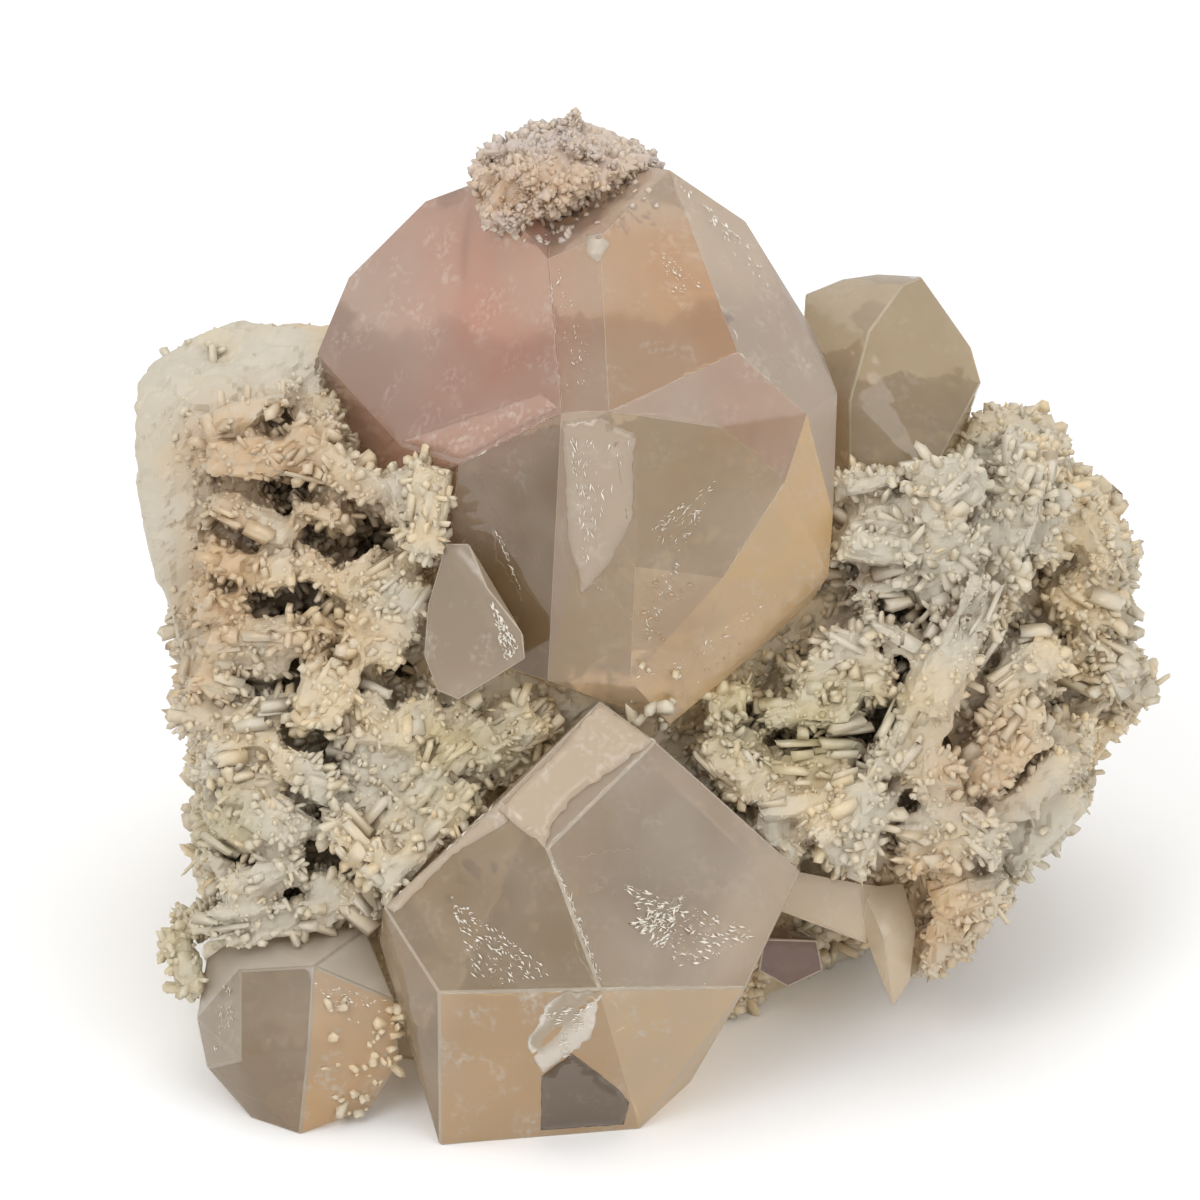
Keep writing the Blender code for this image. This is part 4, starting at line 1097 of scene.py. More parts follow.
@dataclass
class ClearCrystal:
    """One transparent crystal with slightly rippled faces and worn edges whose pale colour is partly wear, partly a
    painted highlight.
    """

    node: str
    slot: str
    finish: CrystalFinish
    facets: tuple[Facet, ...]
    # pale: the bevelled edges' colour, partly wear, partly a painted highlight.
    pale: Colour = (0.66, 0.57, 0.45)
    worn: float = 0.2
    cell: float = 1.6
    wave: float = 0.04
    seed: int = 5

    BLUNT = math.radians(11)
    SHARP = math.radians(35)
    # Frost of the bevelled edges: partly wear, partly a painted highlight.
    EDGE_FROST_AND_GLINT = 0.5

    def build(self) -> bpy.types.Object:
        """Build the crystal from its node's flat faces."""
        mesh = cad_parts[self.node].data.copy()
        mesh.materials.clear()
        mesh.materials.append(self.finish.material())
        shape = bmesh.new()
        shape.from_mesh(mesh)
        bmesh.ops.remove_doubles(shape, verts=shape.verts, dist=0.02 * MM)
        bmesh.ops.dissolve_limit(
            shape, angle_limit=math.radians(0.8), verts=shape.verts, edges=shape.edges
        )
        tint = shape.faces.layers.float_color.new("facet")
        for face in shape.faces:
            facet = self.facet_of(face.calc_center_median())
            face[tint] = (*facet.colour, facet.frost)
            face.material_index = 0
        creases = [edge for edge in shape.edges if self.is_worn_and_glinting(edge, tint)]
        bmesh.ops.bevel(
            shape, geom=creases, offset=self.worn * MM, segments=2, profile=0.6,
            affect="EDGES", clamp_overlap=True, material=1
        )
        for face in shape.faces:
            # The bevels are painted pale: partly wear, partly a painted highlight along the edges.
            if face.material_index:
                face[tint] = (*self.pale, self.EDGE_FROST_AND_GLINT)
                face.material_index = 0
        for _ in range(7):
            bmesh.ops.triangulate(shape, faces=shape.faces)
            long = [edge for edge in shape.edges if edge.calc_length() > self.cell * 1.6 * MM]
            if not long:
                break
            bmesh.ops.subdivide_edges(shape, edges=long, cuts=1)
        bmesh.ops.triangulate(shape, faces=shape.faces)
        shape.normal_update()
        for vert in shape.verts:
            spot = vert.co * 120.0 + Vector((self.seed, 0, 0))
            vert.co += vert.normal * noise.noise(spot) * self.wave * MM
            vert.co.z = max(vert.co.z, 0.0)
        shape.to_mesh(mesh)
        shape.free()
        mesh.set_sharp_from_angle(angle=math.radians(24))
        for polygon in mesh.polygons:
            polygon.use_smooth = True
        piece = Mesh.show(self.node + "_clear", mesh)
        finish_piece(piece, self.node)
        return piece

    def is_worn_and_glinting(self, edge: bmesh.types.BMEdge, tint: object) -> bool:
        """Whether an edge is bevelled and painted pale, partly as wear, partly as a painted highlight: a sharp one, or
        a blunter one between unlike faces.
        """
        if not edge.is_manifold:
            return False
        first, second = edge.link_faces
        return edge.calc_face_angle() > (self.SHARP if first[tint] == second[tint] else self.BLUNT)

    def facet_of(self, middle: Vector) -> Facet:
        """The facet that is nearest to a face's middle."""
        seen = View.seen(np.array([middle]))[0]
        return min(self.facets, key=lambda f: math.hypot(seen[0] - f.across, seen[1] - f.up))


@dataclass(frozen=True)
class Veil:
    """A crack under a crystal's face: a triangle of (across, up, depth under the face), in
    millimetres, the number of flakes in it, their size and how long they are drawn out."""

    corners: tuple
    count: int
    size: tuple[float, float]
    stretch: float = 2.0


def inside(node: str, across: float, up: float, depth: float) -> np.ndarray:
    """The point so many millimetres under the face of a node that shows at this place."""
    tree = Trees.over(node)
    hit = tree.ray_cast(View.place(across, up, 150.0), -View.TOWARD)[0]
    if hit is None:
        hit = tree.find_nearest(View.place(across, up, 5.0))[0]
    return np.array(hit - View.TOWARD * depth * MM)


@dataclass(frozen=True)
class Line:
    """A thin bright thread just under the faces, through these (across, up) places. The threads are partly cracks,
    partly painted highlights along edges and layer rims.
    """

    places: tuple
    width: float = 0.22
    depth: float = 0.1


@dataclass
class CrackAndHighlightLines:
    """The bright threads of one crystal, partly cracks, partly painted highlights along edges, as one mesh of thin
    ragged threads.
    """

    node: str
    slot: str
    material: bpy.types.Material
    lines: tuple[Line, ...]
    seed: int = 61
    step: float = 0.45

    def build(self) -> bpy.types.Object:
        """Build every thread with four sides and closed ends."""
        dice = np.random.default_rng(self.seed)
        points, corners, sizes, first = [], [], [], 0
        for line in self.lines:
            thread = self.thread(line, dice)
            rings = len(thread)
            points.append(thread.reshape(-1, 3))
            for ring in range(rings - 1):
                for i in range(4):
                    j = (i + 1) % 4
                    low, high = first + ring * 4, first + ring * 4 + 4
                    corners += [low + i, low + j, high + j, high + i]
                    sizes.append(4)
            corners += [first + 3, first + 2, first + 1, first]
            corners += [first + rings * 4 - 4 + i for i in range(4)]
            sizes += [4, 4]
            first += rings * 4
        mesh = Mesh.new(self.node + "_cracks_and_highlights", np.concatenate(points), np.array(corners), np.array(sizes))
        piece = Mesh.show(self.node + "_cracks_and_highlights", mesh)
        piece.data.materials.append(self.material)
        finish_piece(piece)
        return piece

    def thread(self, line: Line, dice: np.random.Generator) -> np.ndarray:
        """The rings of one thread, as (n, 4, 3)."""
        flat = []
        for (x0, y0), (x1, y1) in zip(line.places[:-1], line.places[1:]):
            far = math.hypot(x1 - x0, y1 - y0)
            for part in np.arange(0.0, 1.0, self.step / far):
                stray = dice.normal(scale=0.1)
                flat.append((x0 + (x1 - x0) * part - (y1 - y0) / far * stray,
                             y0 + (y1 - y0) * part + (x1 - x0) / far * stray))
        flat.append(line.places[-1])
        middle = np.array([inside(self.node, x, y, line.depth) for x, y in flat])
        tangent = np.gradient(middle, axis=0)
        side = np.cross(tangent, np.array(View.TOWARD))
        side /= np.linalg.norm(side, axis=1)[:, None]
        toward = np.array(View.TOWARD)
        share = dice.uniform(0.15, 1.0, len(flat)) ** 1.5
        share[[0, -1]] = 0.1
        wide = (share * line.width / 2 * MM)[:, None]
        thin = toward * 0.03 * MM
        return np.stack([middle - side * wide, middle + thin, middle + side * wide, middle - thin], axis=1)


@dataclass
class FractureVeils:
    """White flakes along the cracks inside one crystal."""

    node: str
    slot: str
    material: bpy.types.Material
    veils: tuple[Veil, ...]
    seed: int = 51
    kind: str = "flaws"

    SIDES = 4

    def build(self) -> bpy.types.Object:
        """Scatter thin flakes over each crack and join them."""
        dice = np.random.default_rng(self.seed)
        rims = np.concatenate([self.flakes(veil, dice) for veil in self.veils])
        count, sides = len(rims), self.SIDES
        ring = np.arange(sides)
        after = (ring + 1) % sides
        walls = np.stack([ring, after, after + sides, ring + sides], axis=1).ravel()
        one = np.concatenate([ring[::-1], ring + sides, walls])
        corners = (one[None] + 2 * sides * np.arange(count)[:, None]).ravel()
        sizes = np.tile([sides, sides] + [4] * sides, count)
        name = f"{self.node}_{self.kind}"
        piece = Mesh.show(name, Mesh.new(name, rims.reshape(-1, 3), corners, sizes))
        piece.data.materials.append(self.material)
        finish_piece(piece)
        return piece

    def flakes(self, veil: Veil, dice: np.random.Generator) -> np.ndarray:
        """The points of one crack's flakes, as (count, 2 * SIDES, 3)."""
        a, b, c = (inside(self.node, *corner) for corner in veil.corners)
        away = np.cross(b - a, c - a)
        away /= np.linalg.norm(away)
        u, v = dice.random((2, veil.count, 1))
        over = u + v > 1
        u, v = np.where(over, 1 - u, u), np.where(over, 1 - v, v)
        middle = a + (b - a) * u + (c - a) * v + away * dice.normal(scale=0.25, size=(veil.count, 1)) * MM
        tilt = away + dice.normal(scale=0.25, size=(veil.count, 3))
        tilt /= np.linalg.norm(tilt, axis=1)[:, None]
        run = (b - a) / np.linalg.norm(b - a) + dice.normal(scale=0.35, size=(veil.count, 3))
        other = np.cross(tilt, run)
        other /= np.linalg.norm(other, axis=1)[:, None]
        side = np.cross(other, tilt)
        size = dice.uniform(*veil.size, veil.count) * dice.uniform(0.4, 1.0, veil.count) * MM
        turn = math.tau * np.arange(self.SIDES) / self.SIDES
        reach = size[:, None] * dice.uniform(0.5, 1.1, (veil.count, self.SIDES))
        x = (np.cos(turn) * reach * veil.stretch)[:, :, None] * side[:, None]
        y = (np.sin(turn) * reach)[:, :, None] * other[:, None]
        rim = middle[:, None] + x + y
        thick = tilt[:, None] * 0.02 * MM
        return np.concatenate([rim - thick, rim + thick], axis=1)


@dataclass(frozen=True)
class Slab:
    """A thin layer on a crystal's face: its outline as (across, up) places, its colour, how
    frosted it is, and how far it stands out and how ragged its edge is, in millimetres."""

    outline: tuple
    colour: Colour
    frost: float = 0.4
    lift: float = 0.08
    ragged: float = 0.12


@dataclass
class Slabs:
    """The thin layers on one crystal, as one mesh."""

    node: str
    slot: str
    material: bpy.types.Material
    slabs: tuple[Slab, ...]
    sunk: float = 0.3
    step: float = 0.6
    cell: float = 1.5
    seed: int = 81
    name: str = "layers"

    def build(self) -> bpy.types.Object:
        """Lay every layer on the crystal's faces and join them."""
        dice = np.random.default_rng(self.seed)
        points, faces, tints, first = [], [], [], 0
        for slab in self.slabs:
            spots, triangles = self.lay(slab, dice)
            points.append(spots)
            faces.append(triangles + first)
            tints.append(np.tile((*slab.colour, slab.frost), (len(triangles), 1)))
            first += len(spots)
        corners = np.concatenate(faces)
        name = f"{self.node}_{self.name}"
        mesh = Mesh.new(name, np.concatenate(points), corners.ravel(), np.full(len(corners), 3))
        layer = mesh.attributes.new("facet", "FLOAT_COLOR", "FACE")
        layer.data.foreach_set("color", np.concatenate(tints).astype(np.float32).ravel())
        mesh.materials.append(self.material)
        piece = Mesh.show(name, mesh)
        finish_piece(piece)
        return piece

    def lay(self, slab: Slab, dice: np.random.Generator) -> tuple[np.ndarray, np.ndarray]:
        """One layer: its outline filled, pressed onto the faces under it and thickened.

        Args:
            slab: The layer.
            dice: The random numbers to use.

        Returns:
            Its points as (n, 3) and its triangles as (m, 3).
        """
        shape = bmesh.new()
        shape.faces.new([shape.verts.new((x, y, 0.0)) for x, y in self.rim(slab, dice)])
        for _ in range(5):
            bmesh.ops.triangulate(shape, faces=shape.faces)
            long = [edge for edge in shape.edges if edge.calc_length() > self.cell]
            bmesh.ops.subdivide_edges(shape, edges=long, cuts=1)
        bmesh.ops.triangulate(shape, faces=shape.faces)
        grown = bmesh.ops.extrude_face_region(
            shape, geom=shape.faces[:], use_keep_orig=True
        )["geom"]
        top = {item for item in grown if isinstance(item, bmesh.types.BMVert)}
        for vert in shape.verts:
            depth = -slab.lift if vert in top else self.sunk
            vert.co = Vector(inside(self.node, vert.co.x, vert.co.y, depth))
        bmesh.ops.recalc_face_normals(shape, faces=shape.faces)
        bmesh.ops.triangulate(shape, faces=shape.faces)
        shape.verts.index_update()
        spots = np.array([tuple(vert.co) for vert in shape.verts])
        triangles = np.array([[vert.index for vert in face.verts] for face in shape.faces])
        shape.free()
        return spots, triangles

    def rim(self, slab: Slab, dice: np.random.Generator) -> list[tuple[float, float]]:
        """The layer's outline with a broken edge."""
        places = []
        for (x0, y0), (x1, y1) in zip(slab.outline, slab.outline[1:] + slab.outline[:1]):
            far = math.hypot(x1 - x0, y1 - y0)
            for part in np.arange(0.0, 0.999, self.step / far):
                stray = dice.normal(scale=slab.ragged) if part else 0.0
                places.append((x0 + (x1 - x0) * part - (y1 - y0) / far * stray,
                               y0 + (y1 - y0) * part + (x1 - x0) / far * stray))
        return places


# The studio


@dataclass
class Studio:
    """A plain white floor, soft light from all round and the camera of the tilted view."""

    middle: tuple[float, float] = (-4.0, 54.0)
    distance: float = 1.0
    frame_width: float = 0.12
    sensor: float = 36.0
    floor_size: float = 6.0
    sky: float = 0.86
    lamps: tuple = (
        ("key", (-0.35, -0.55, 0.75), 0.5, 2.3),
        ("fill", (0.5, -0.5, 0.5), 0.5, 1.0),
        ("top", (0.0, 0.15, 0.9), 0.6, 1.6),
    )

    def build(self) -> None:
        """Make the camera, the lights and the floor."""
        self.place_camera()
        self.light()
        self.lay_floor()

    def place_camera(self) -> None:
        """Look along the tilted view, with the photograph's frame."""
        data = bpy.data.cameras.new("camera")
        data.sensor_width = self.sensor
        data.lens = self.sensor * self.distance / self.frame_width
        camera = bpy.data.objects.new("camera", data)
        target = View.place(*self.middle, 0.0)
        camera.location = target + View.TOWARD * self.distance
        camera.rotation_mode = "QUATERNION"
        camera.rotation_quaternion = View.TOWARD.to_track_quat("Z", "Y")
        bpy.context.scene.collection.objects.link(camera)
        bpy.context.scene.camera = camera

    def light(self) -> None:
        """A pale sky and three large lamps."""
        scene = bpy.context.scene
        world = bpy.data.worlds.new("sky")
        world.use_nodes = True
        back = world.node_tree.nodes["Background"]
        back.inputs["Color"].default_value = (1.0, 1.0, 1.0, 1.0)
        back.inputs["Strength"].default_value = self.sky
        scene.world = world
        scene.view_settings.view_transform = "Standard"
        for name, spot, size, power in self.lamps:
            data = bpy.data.lights.new(name, "AREA")
            data.shape = "DISK"
            data.size = size
            data.energy = power
            lamp = bpy.data.objects.new(name, data)
            lamp.location = spot
            lamp.rotation_mode = "QUATERNION"
            lamp.rotation_quaternion = Vector(spot).to_track_quat("Z", "Y")
            scene.collection.objects.link(lamp)

    def lay_floor(self) -> None:
        """A large pale floor."""
        shape = bmesh.new()
        bmesh.ops.create_grid(shape, x_segments=2, y_segments=2, size=self.floor_size / 2)
        mesh = bpy.data.meshes.new("floor")
        shape.to_mesh(mesh)
        shape.free()
        floor = bpy.data.objects.new("floor", mesh)
        finish = PlainFinish("floor_white", (0.95, 0.95, 0.95), (0.96, 0.96, 0.96), 3.0, 0.9)
        mesh.materials.append(finish.material())
        bpy.context.scene.collection.objects.link(floor)


# The specimen


@dataclass
class Albite:
    """The albite mass with its druse and its blades."""

    rock: AlbiteFinish = AlbiteFinish("albite_rock")
    grain: AlbiteFinish = AlbiteFinish("albite_grain", pale=(0.56, 0.495, 0.375), cream=(0.66, 0.51, 0.30), roughness=0.42)
    blade: AlbiteFinish = AlbiteFinish("albite_blade", pale=(0.55, 0.495, 0.395), cream=(0.66, 0.52, 0.32), roughness=0.4)

    def build(self) -> None:
        """Build the mass, then what grows on it."""
        bundles = BladeBundles(self.blade.material())
        surface = RockBody("albite_matrix", "albite_rock", "albite", self.rock, ribs=bundles.ribs()).build()
        grain = self.grain.material()
        DruseField("druse_left", "albite_matrix", "albite", 9000, (0.5, 2.0), (0.18, 0.42),
                   (-48.0, -8.0, 12.0, 80.0), grain, 21, surface=surface).build()
        DruseField("druse_right", "albite_matrix", "albite", 9000, (0.5, 2.0), (0.18, 0.42),
                   (3.0, 53.0, 12.0, 76.0), grain, 22, surface=surface).build()
        DruseField("druse_back", "albite_matrix", "albite", 5000, (1.2, 3.0), (0.35, 0.8),
                   (-60.0, 60.0, -20.0, 120.0), grain, 23, front=False, surface=surface).build()
        bundles.build()
        creeping = ((-31.0, -20.0, 2.0, 13.5), "corner_crystal", 260), ((-3.0, 12.0, 42.0, 48.0), "morganite", 160)
        for number, (region, node, count) in enumerate(creeping):
            DruseField(f"druse_on_{node}", node, "albite", count, (0.5, 2.0), (0.2, 0.5),
                       region, grain, 41 + number, clear_of=0.0).build()


@dataclass
class DruseCap:
    """The sparkling crust on top of the large crystal."""

    finish: AlbiteFinish = AlbiteFinish(
        "cap_crust", pale=(0.49, 0.42, 0.39), cream=(0.55, 0.43, 0.32), rust=(0.50, 0.33, 0.20), roughness=0.3
    )

    def build(self) -> None:
        """Build the crust and its small crystals."""
        RockBody("druse_cap", "cap_rock", "druse", self.finish, cell=0.35, facet=0.9, rough=0.3, sunk=0.15, seed=8).build()
        DruseField("cap_crystals", "druse_cap", "druse", 4200, (0.25, 1.15), (0.12, 0.34),
                   (-20.0, 6.0, 88.0, 104.0), self.finish.material(), 31, clear_of=0.2).build()
        DruseField("cap_drip", "morganite", "druse", 420, (0.4, 1.0), (0.15, 0.35),
                   (-15.5, -7.0, 89.5, 95.0), self.finish.material(), 32, clear_of=0.0).build()
        DruseField("cap_skirt", "morganite", "druse", 700, (0.25, 0.9), (0.12, 0.32),
                   (-10.5, 1.5, 90.5, 99.5), self.finish.material(), 33, clear_of=0.0).build()


@dataclass
class Beryls:
    """Every clear crystal, with the layers on its faces and the flaws in it."""

    clear: CrystalFinish = CrystalFinish("beryl_clear", (0.86, 0.78, 0.66), 28.0, blushes=(
        Blush(-14.5, 80.5, 6.0, 9.0, (0.57, 0.245, 0.18), 0.8, 1.4, 0.05),
        Blush(-28.0, 83.0, 6.0, 8.0, (0.46, 0.36, 0.30), 0.6, 1.4, 0.05),
        Blush(3.0, 50.0, 4.5, 5.0, (0.42, 0.26, 0.12), 0.45, 0.8, 1.2),
        Blush(2.0, 94.5, 6.0, 3.0, (0.56, 0.45, 0.34), 0.7, 0.9),
    ))
    smoky: CrystalFinish = CrystalFinish(
        "beryl_smoky", (0.84, 0.77, 0.66), 26.0, shade=(0.76, 0.72, 0.66), blushes=(
            Blush(2.0, 27.5, 6.0, 6.5, (0.25, 0.175, 0.10), 0.6, 0.9, 0.5, -30.0),
            Blush(-16.0, 26.0, 3.5, 4.0, (0.29, 0.215, 0.14), 0.5, 0.9, 0.5),
            Blush(11.5, 24.0, 3.0, 8.0, (0.56, 0.43, 0.27), 0.6, 0.8, 0.3, -32.0),
        ),
    )
    olive: CrystalFinish = CrystalFinish(
        "beryl_olive", (0.80, 0.74, 0.58), 30.0, shade=(0.68, 0.64, 0.54), haze=(0.52, 0.44, 0.31)
    )
    tan: CrystalFinish = CrystalFinish("beryl_tan", (0.86, 0.76, 0.62), 30.0, clear=0.5)
    frosted: CrystalFinish = CrystalFinish("beryl_frosted", (0.85, 0.80, 0.70), 20.0, clear=0.5, hazy=0.15)
    brown: CrystalFinish = CrystalFinish("beryl_brown", (0.6, 0.45, 0.35), 80.0, clear=0.5, hazy=0.0)
    layered: CrystalFinish = CrystalFinish(
        "beryl_layer", (0.88, 0.83, 0.75), 10.0, clear=0.3, scuff=0.15, hazy=0.0
    )
    # A near-black sheet over the front crystal's clear window: painted shade where the crystal is seen through into its
    # shaded inside.
    shaded_window: CrystalFinish = CrystalFinish(
        "beryl_shaded_window", (0.50, 0.42, 0.33), 60.0, clear=0.06, roughness=0.15, scuff=0.04, hazy=0.0
    )
    flaw: PlainFinish = PlainFinish("flaw_white", (0.84, 0.79, 0.70), (0.72, 0.66, 0.56), 900.0, 0.35)
    speck: PlainFinish = PlainFinish("flaw_brown", (0.40, 0.25, 0.13), (0.55, 0.40, 0.24), 900.0, 0.5)

    def build(self) -> None:
        """Build the large crystal first, then those round it."""
        # under and dim are painted shade: under darkens the large crystal's underside facets, dim darkens two low
        # facets.
        mauve, under, top = (0.51, 0.34, 0.27), (0.42, 0.235, 0.17), (0.54, 0.41, 0.33)
        rim, amber, low = (0.58, 0.49, 0.40), (0.84, 0.58, 0.28), (0.80, 0.57, 0.31)
        tan, smoke, dim = (0.48, 0.315, 0.215), (0.46, 0.34, 0.205), (0.22, 0.15, 0.08)
        ClearCrystal("morganite", "morganite", self.clear, (
            Facet(-19.7, 81.5, mauve, 0.3), Facet(-26.9, 71.0, under, 0.3), Facet(-22.1, 67.3, under, 0.3),
            Facet(-28.8, 71.6, under, 0.3), Facet(-19.1, 66.0, under, 0.3), Facet(-8.4, 80.3, (0.51, 0.36, 0.27)),
            Facet(-11.6, 94.1, top, 0.3), Facet(-15.7, 96.2, top, 0.3), Facet(-5.8, 93.5, top, 0.2),
            Facet(-4.8, 90.6, top, 0.2), Facet(1.4, 84.5, (0.54, 0.34, 0.20), 0.2),
            Facet(10.6, 85.4, rim, 0.6), Facet(15.2, 75.1, rim, 0.6), Facet(15.9, 82.3, rim, 0.6),
            Facet(18.4, 69.8, rim, 0.5), Facet(10.0, 51.4, low, 0.35), Facet(13.8, 59.5, amber, 0.35),
            Facet(10.9, 48.7, low, 0.35), Facet(15.5, 52.7, low, 0.35), Facet(17.2, 64.3, amber, 0.4),
            Facet(-6.3, 79.2, tan), Facet(7.8, 73.6, tan, 0.1), Facet(13.0, 69.8, tan, 0.1),
            Facet(5.4, 64.6, smoke), Facet(-15.3, 62.9, dim), Facet(-9.7, 59.6, dim),
            Facet(-7.1, 67.2, (0.44, 0.33, 0.23)), Facet(-4.3, 58.6, smoke), Facet(2.2, 53.2, (0.60, 0.44, 0.265)),
            Facet(3.4, 47.9, low), Facet(-3.6, 49.8, smoke), Facet(-6.7, 45.0, smoke),
        )).build()
        ClearCrystal("back_crystal", "olive_crystal", self.olive, (
            Facet(22.0, 80.0, (0.55, 0.44, 0.31)), Facet(29.0, 78.0, (0.42, 0.32, 0.20)),
        ), pale=(0.54, 0.46, 0.33)).build()
        coat, light, grey = (0.65, 0.44, 0.24), (0.80, 0.58, 0.34), (0.36, 0.265, 0.165)
        ClearCrystal("front_crystal", "smoky_crystal", self.smoky, (
            Facet(-14.7, 10.0, coat, 0.8), Facet(-8.0, 5.3, coat, 0.8), Facet(2.2, 10.7, light, 0.8),
            Facet(5.2, 7.3, light, 0.8), Facet(3.0, 25.5, (0.36, 0.25, 0.135)), Facet(-14.5, 23.5, (0.385, 0.29, 0.18)),
            Facet(-6.4, 36.9, (0.58, 0.46, 0.34), 0.1), Facet(-21.8, 12.7, grey), Facet(-23.8, 14.3, grey),
            Facet(-14.5, 33.8, (0.58, 0.46, 0.34), 0.3),
        )).build()
        band, rust = (0.86, 0.78, 0.66), (0.72, 0.46, 0.225)
        ClearCrystal("corner_crystal", "smoky_crystal", self.smoky, (
            Facet(-30.3, 5.8, rust, 0.8), Facet(-28.3, 3.8, rust, 0.8), Facet(-30.0, 13.5, rust, 0.8),
            Facet(-27.2, 10.3, rust, 0.8), Facet(-37.7, 11.3, grey), Facet(-35.2, 14.5, grey),
            Facet(-35.7, 5.8, grey), Facet(-37.7, 3.5, grey), Facet(-40.8, 5.7, grey),
            Facet(-42.7, 9.0, (0.52, 0.44, 0.33), 0.4), Facet(-41.5, 12.3, (0.52, 0.44, 0.33), 0.3),
            Facet(-42.7, 15.7, band, 0.4), Facet(-41.2, 18.5, band, 0.4), Facet(-37.5, 18.3, band, 0.4),
            Facet(-33.3, 19.7, band, 0.4), Facet(-28.2, 17.5, band, 0.4),
        ), pale=(0.56, 0.48, 0.37)).build()
        ClearCrystal("tooth_crystal", "tan_crystal", self.tan, (Facet(24.0, 20.0, (0.76, 0.62, 0.44), 0.3),)).build()
        ClearCrystal("side_crystal", "frosted_crystal", self.frosted, (Facet(-16.0, 52.0, (0.42, 0.33, 0.235), 0.4),)).build()
        ClearCrystal("foot_crystal", "brown_crystal", self.brown, (Facet(15.0, 17.0, (0.26, 0.16, 0.12)),)).build()
        self.layer()
        self.crack()

    def layer(self) -> None:
        """Lay the thin layers and plates on the crystals' faces."""
        material = self.layered.material()
        Slabs("front_crystal", "smoky_crystal", material, (
            Slab(((-3.9, 43.6), (1.2, 40.0), (-3.1, 36.9), (-6.8, 34.4), (-9.0, 31.4), (-9.4, 29.5), (-14.0, 33.2)),
                 (0.55, 0.44, 0.32), 0.35, 0.35),
            Slab(((-13.9, 33.9), (-13.0, 32.2), (-18.7, 28.6), (-24.4, 22.9), (-25.3, 23.5)),
                 (0.55, 0.44, 0.32), 0.35, 0.12, 0.08),
            Slab(((-7.6, 15.2), (-3.9, 15.3), (-4.8, 10.8), (-6.7, 9.0), (-9.7, 6.9), (-11.2, 10.0), (-9.6, 13.0)),
                 (0.42, 0.34, 0.24), 0.5, 0.05, 0.2),
        )).build()
        # The clear window's dark is painted shade: a near-black sheet laid over it.
        Slabs("front_crystal", "smoky_crystal", self.shaded_window.material(), (
            Slab(((-9.9, 1.0), (-9.8, 6.6), (-6.8, 8.9), (-4.6, 7.2), (-2.2, 5.2), (-1.1, 3.8), (-1.6, 1.5)),
                 (0.085, 0.05, 0.022), 0.0, 0.06, 0.03),
        ), name="shaded_window").build()
        Slabs("morganite", "morganite", material, (
            Slab(((-5.4, 90.2), (-3.8, 90.4), (-3.0, 89.2), (-4.2, 87.4), (-5.2, 88.2)),
                 (0.60, 0.52, 0.42), 0.6, 0.06, 0.05),
            Slab(((-7.6, 71.6), (-4.0, 72.0), (-0.6, 70.4), (-0.8, 62.0), (-3.2, 57.5), (-5.8, 54.5), (-7.2, 60.0)),
                 (0.48, 0.38, 0.28), 0.3, 0.04, 0.1),
            Slab(((-23.8, 69.8), (-9.6, 74.4), (-8.2, 73.0), (-17.8, 68.0)), (0.50, 0.31, 0.23), 0.35, 0.03, 0.04),
        ), seed=84).build()

    def crack(self) -> None:
        """Put the white flakes into the crystals, and the bright lines that are partly cracks, partly painted edge
        highlights.
        """
        flaw = self.flaw.material()
        FractureVeils("morganite", "morganite", flaw, (
            Veil(((-7.0, 70.0, 0.0), (-5.5, 57.0, 0.1), (-1.0, 70.0, 0.1)), 525, (0.030, 0.121), 8.5),
            Veil(((-5.0, 56.0, 0.1), (1.0, 50.0, 0.2), (4.0, 58.0, 0.1)), 375, (0.030, 0.121), 6.5),
            Veil(((0.5, 61.0, 0.1), (7.5, 66.0, 0.1), (4.0, 58.5, 0.3)), 250, (0.030, 0.088), 7.5),
            Veil(((-14.5, 61.0, 0.0), (-11.5, 54.0, 0.0), (-13.6, 60.0, 0.3)), 112, (0.024, 0.066), 8.5),
            Veil(((2.0, 88.5, 0.0), (6.5, 85.0, 0.1), (3.0, 84.0, 0.2)), 112, (0.030, 0.110), 3.0),
            Veil(((3.5, 96.0, 0.0), (19.0, 71.0, 0.0), (11.0, 89.0, 0.0)), 525, (0.036, 0.198), 3.5),
            Veil(((-1.0, 46.0, 0.1), (14.0, 55.0, 0.1), (6.0, 48.0, 0.2)), 250, (0.030, 0.121), 4.5),
            Veil(((-14.0, 92.0, 0.0), (-8.0, 92.5, 0.0), (-10.0, 88.0, 0.0)), 87, (0.024, 0.077), 2.8),
            Veil(((-8.5, 88.0, 0.0), (-7.4, 74.0, 0.0), (-4.0, 76.0, 0.2)), 112, (0.024, 0.088), 4.0),
        )).build()
        FractureVeils("morganite", "morganite", self.speck.material(), (
            Veil(((-1.5, 57.0, 0.1), (5.0, 56.0, 0.3), (1.0, 47.0, 0.2)), 162, (0.060, 0.220), 2.9),
            Veil(((5.0, 46.0, 0.1), (15.0, 56.0, 0.3), (10.0, 49.0, 0.2)), 62, (0.048, 0.138), 3.3),
        ), 55, "specks").build()
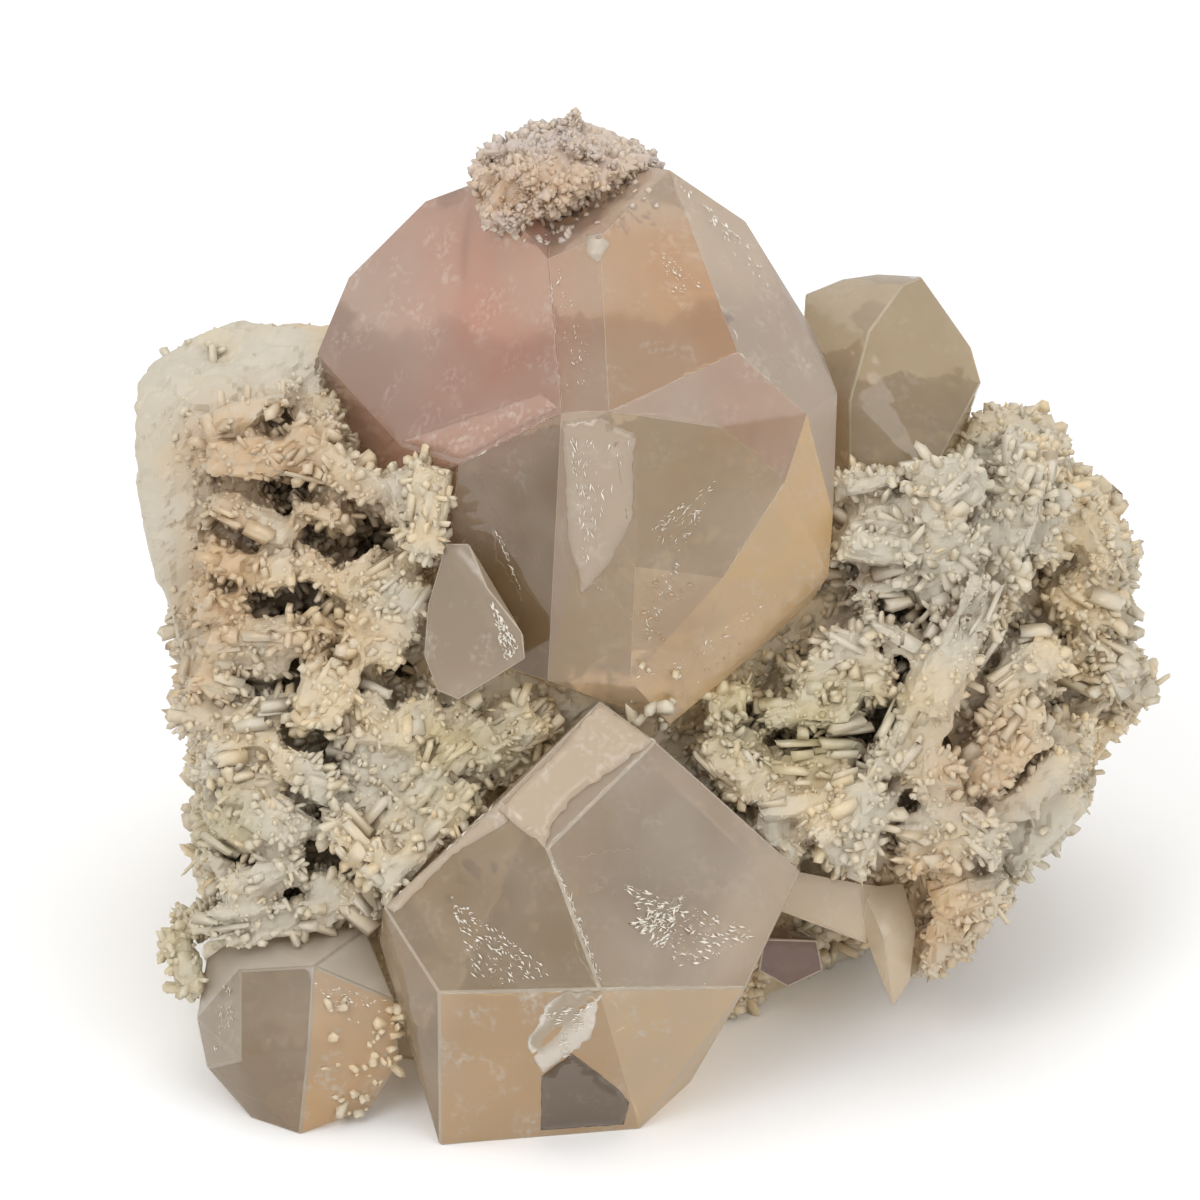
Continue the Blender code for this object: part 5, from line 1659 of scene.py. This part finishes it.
        FractureVeils("front_crystal", "smoky_crystal", flaw, (
            Veil(((-2.0, 26.0, 0.0), (12.0, 21.0, 0.1), (4.0, 17.0, 0.3)), 525, (0.036, 0.165), 4.1),
            Veil(((-1.0, 22.0, 0.0), (4.5, 25.0, 0.1), (2.0, 19.0, 0.2)), 300, (0.036, 0.198), 3.7),
            Veil(((-19.0, 25.0, 0.0), (-8.5, 17.0, 0.1), (-16.0, 15.5, 0.3)), 450, (0.036, 0.143), 4.1),
            Veil(((-9.2, 29.0, 0.0), (-4.0, 16.0, 0.0), (-7.0, 24.0, 0.3)), 275, (0.030, 0.121), 5.5),
            Veil(((-14.0, 16.0, 0.0), (9.0, 16.0, 0.0), (-3.0, 14.5, 0.1)), 325, (0.030, 0.138), 4.5),
            Veil(((-9.5, 13.0, -0.05), (-4.5, 14.5, -0.05), (-7.5, 8.5, -0.05)), 325, (0.030, 0.132), 5.5),
        ), 52).build()
        FractureVeils("side_crystal", "frosted_crystal", flaw, (
            Veil(((-14.8, 54.0, 0.0), (-11.8, 49.0, 0.0), (-13.5, 48.0, 0.3)), 325, (0.036, 0.165), 4.0),
        ), 53).build()
        FractureVeils("corner_crystal", "smoky_crystal", flaw, (
            Veil(((-41.0, 17.0, 0.0), (-42.5, 8.0, 0.0), (-40.5, 12.0, 0.2)), 187, (0.030, 0.138), 3.5),
            Veil(((-33.0, 16.0, 0.0), (-25.0, 14.0, 0.0), (-30.0, 13.0, 0.2)), 187, (0.030, 0.138), 3.5),
        ), 54).build()
        # Bright threads: partly cracks, partly painted highlights along edges and layer rims.
        CrackAndHighlightLines("morganite", "morganite", flaw, (
            Line(((-7.8, 72.5), (-9.2, 87.8)), 0.3), Line(((-3.2, 72.6), (-3.8, 89.0)), 0.16),
            Line(((-7.8, 72.5), (-17.5, 67.8)), 0.4), Line(((-3.1, 72.6), (1.0, 74.2), (5.5, 76.8), (9.6, 78.5)), 0.4),
            Line(((-5.5, 72.3), (2.0, 72.4), (8.0, 71.0), (14.0, 66.2)), 0.25), Line(((9.6, 78.6), (16.0, 72.6)), 0.3),
            Line(((3.0, 96.5), (6.0, 88.0), (9.6, 79.5)), 0.35), Line(((-7.6, 72.0), (-6.8, 66.0), (-8.0, 60.0), (-6.0, 54.0)), 0.3),
            Line(((-0.6, 71.0), (-0.4, 64.0), (-0.5, 57.5)), 0.2), Line(((-14.5, 61.0), (-14.3, 58.5), (-12.8, 56.0), (-11.6, 53.8)), 0.3),
            Line(((8.2, 56.3), (14.4, 65.9)), 0.3), Line(((-25.0, 69.8), (-9.6, 74.6)), 0.2),
        )).build()
        CrackAndHighlightLines("front_crystal", "smoky_crystal", flaw, (
            Line(((-4.0, 43.5), (1.5, 40.0), (-8.5, 30.5), (-9.2, 29.0), (-14.0, 33.5), (-4.0, 43.5)), 0.3),
            Line(((-9.2, 29.2), (-7.0, 24.0), (-6.2, 19.0), (-4.0, 15.5)), 0.45), Line(((-25.3, 23.3), (-14.5, 33.8)), 0.3),
            Line(((-20.0, 15.0), (-12.0, 14.8), (-4.0, 15.5), (10.0, 15.5)), 0.35), Line(((-7.5, 28.5), (8.0, 30.5)), 0.15),
            Line(((-8.8, 14.5), (-8.4, 9.0), (-9.2, 1.5)), 0.25), Line(((-8.6, 7.0), (-3.0, 10.4), (0.2, 1.0)), 0.2),
            Line(((-3.5, 15.0), (-1.0, 12.0), (-3.2, 10.5)), 0.3),
        ), 62).build()


def main() -> None:
    """Build the studio and the specimen in order."""
    logging.basicConfig(level=logging.INFO, format="%(relativeCreated)d %(message)s")
    Studio().build()
    Albite().build()
    DruseCap().build()
    Beryls().build()


if __name__ == "__main__":
    main()
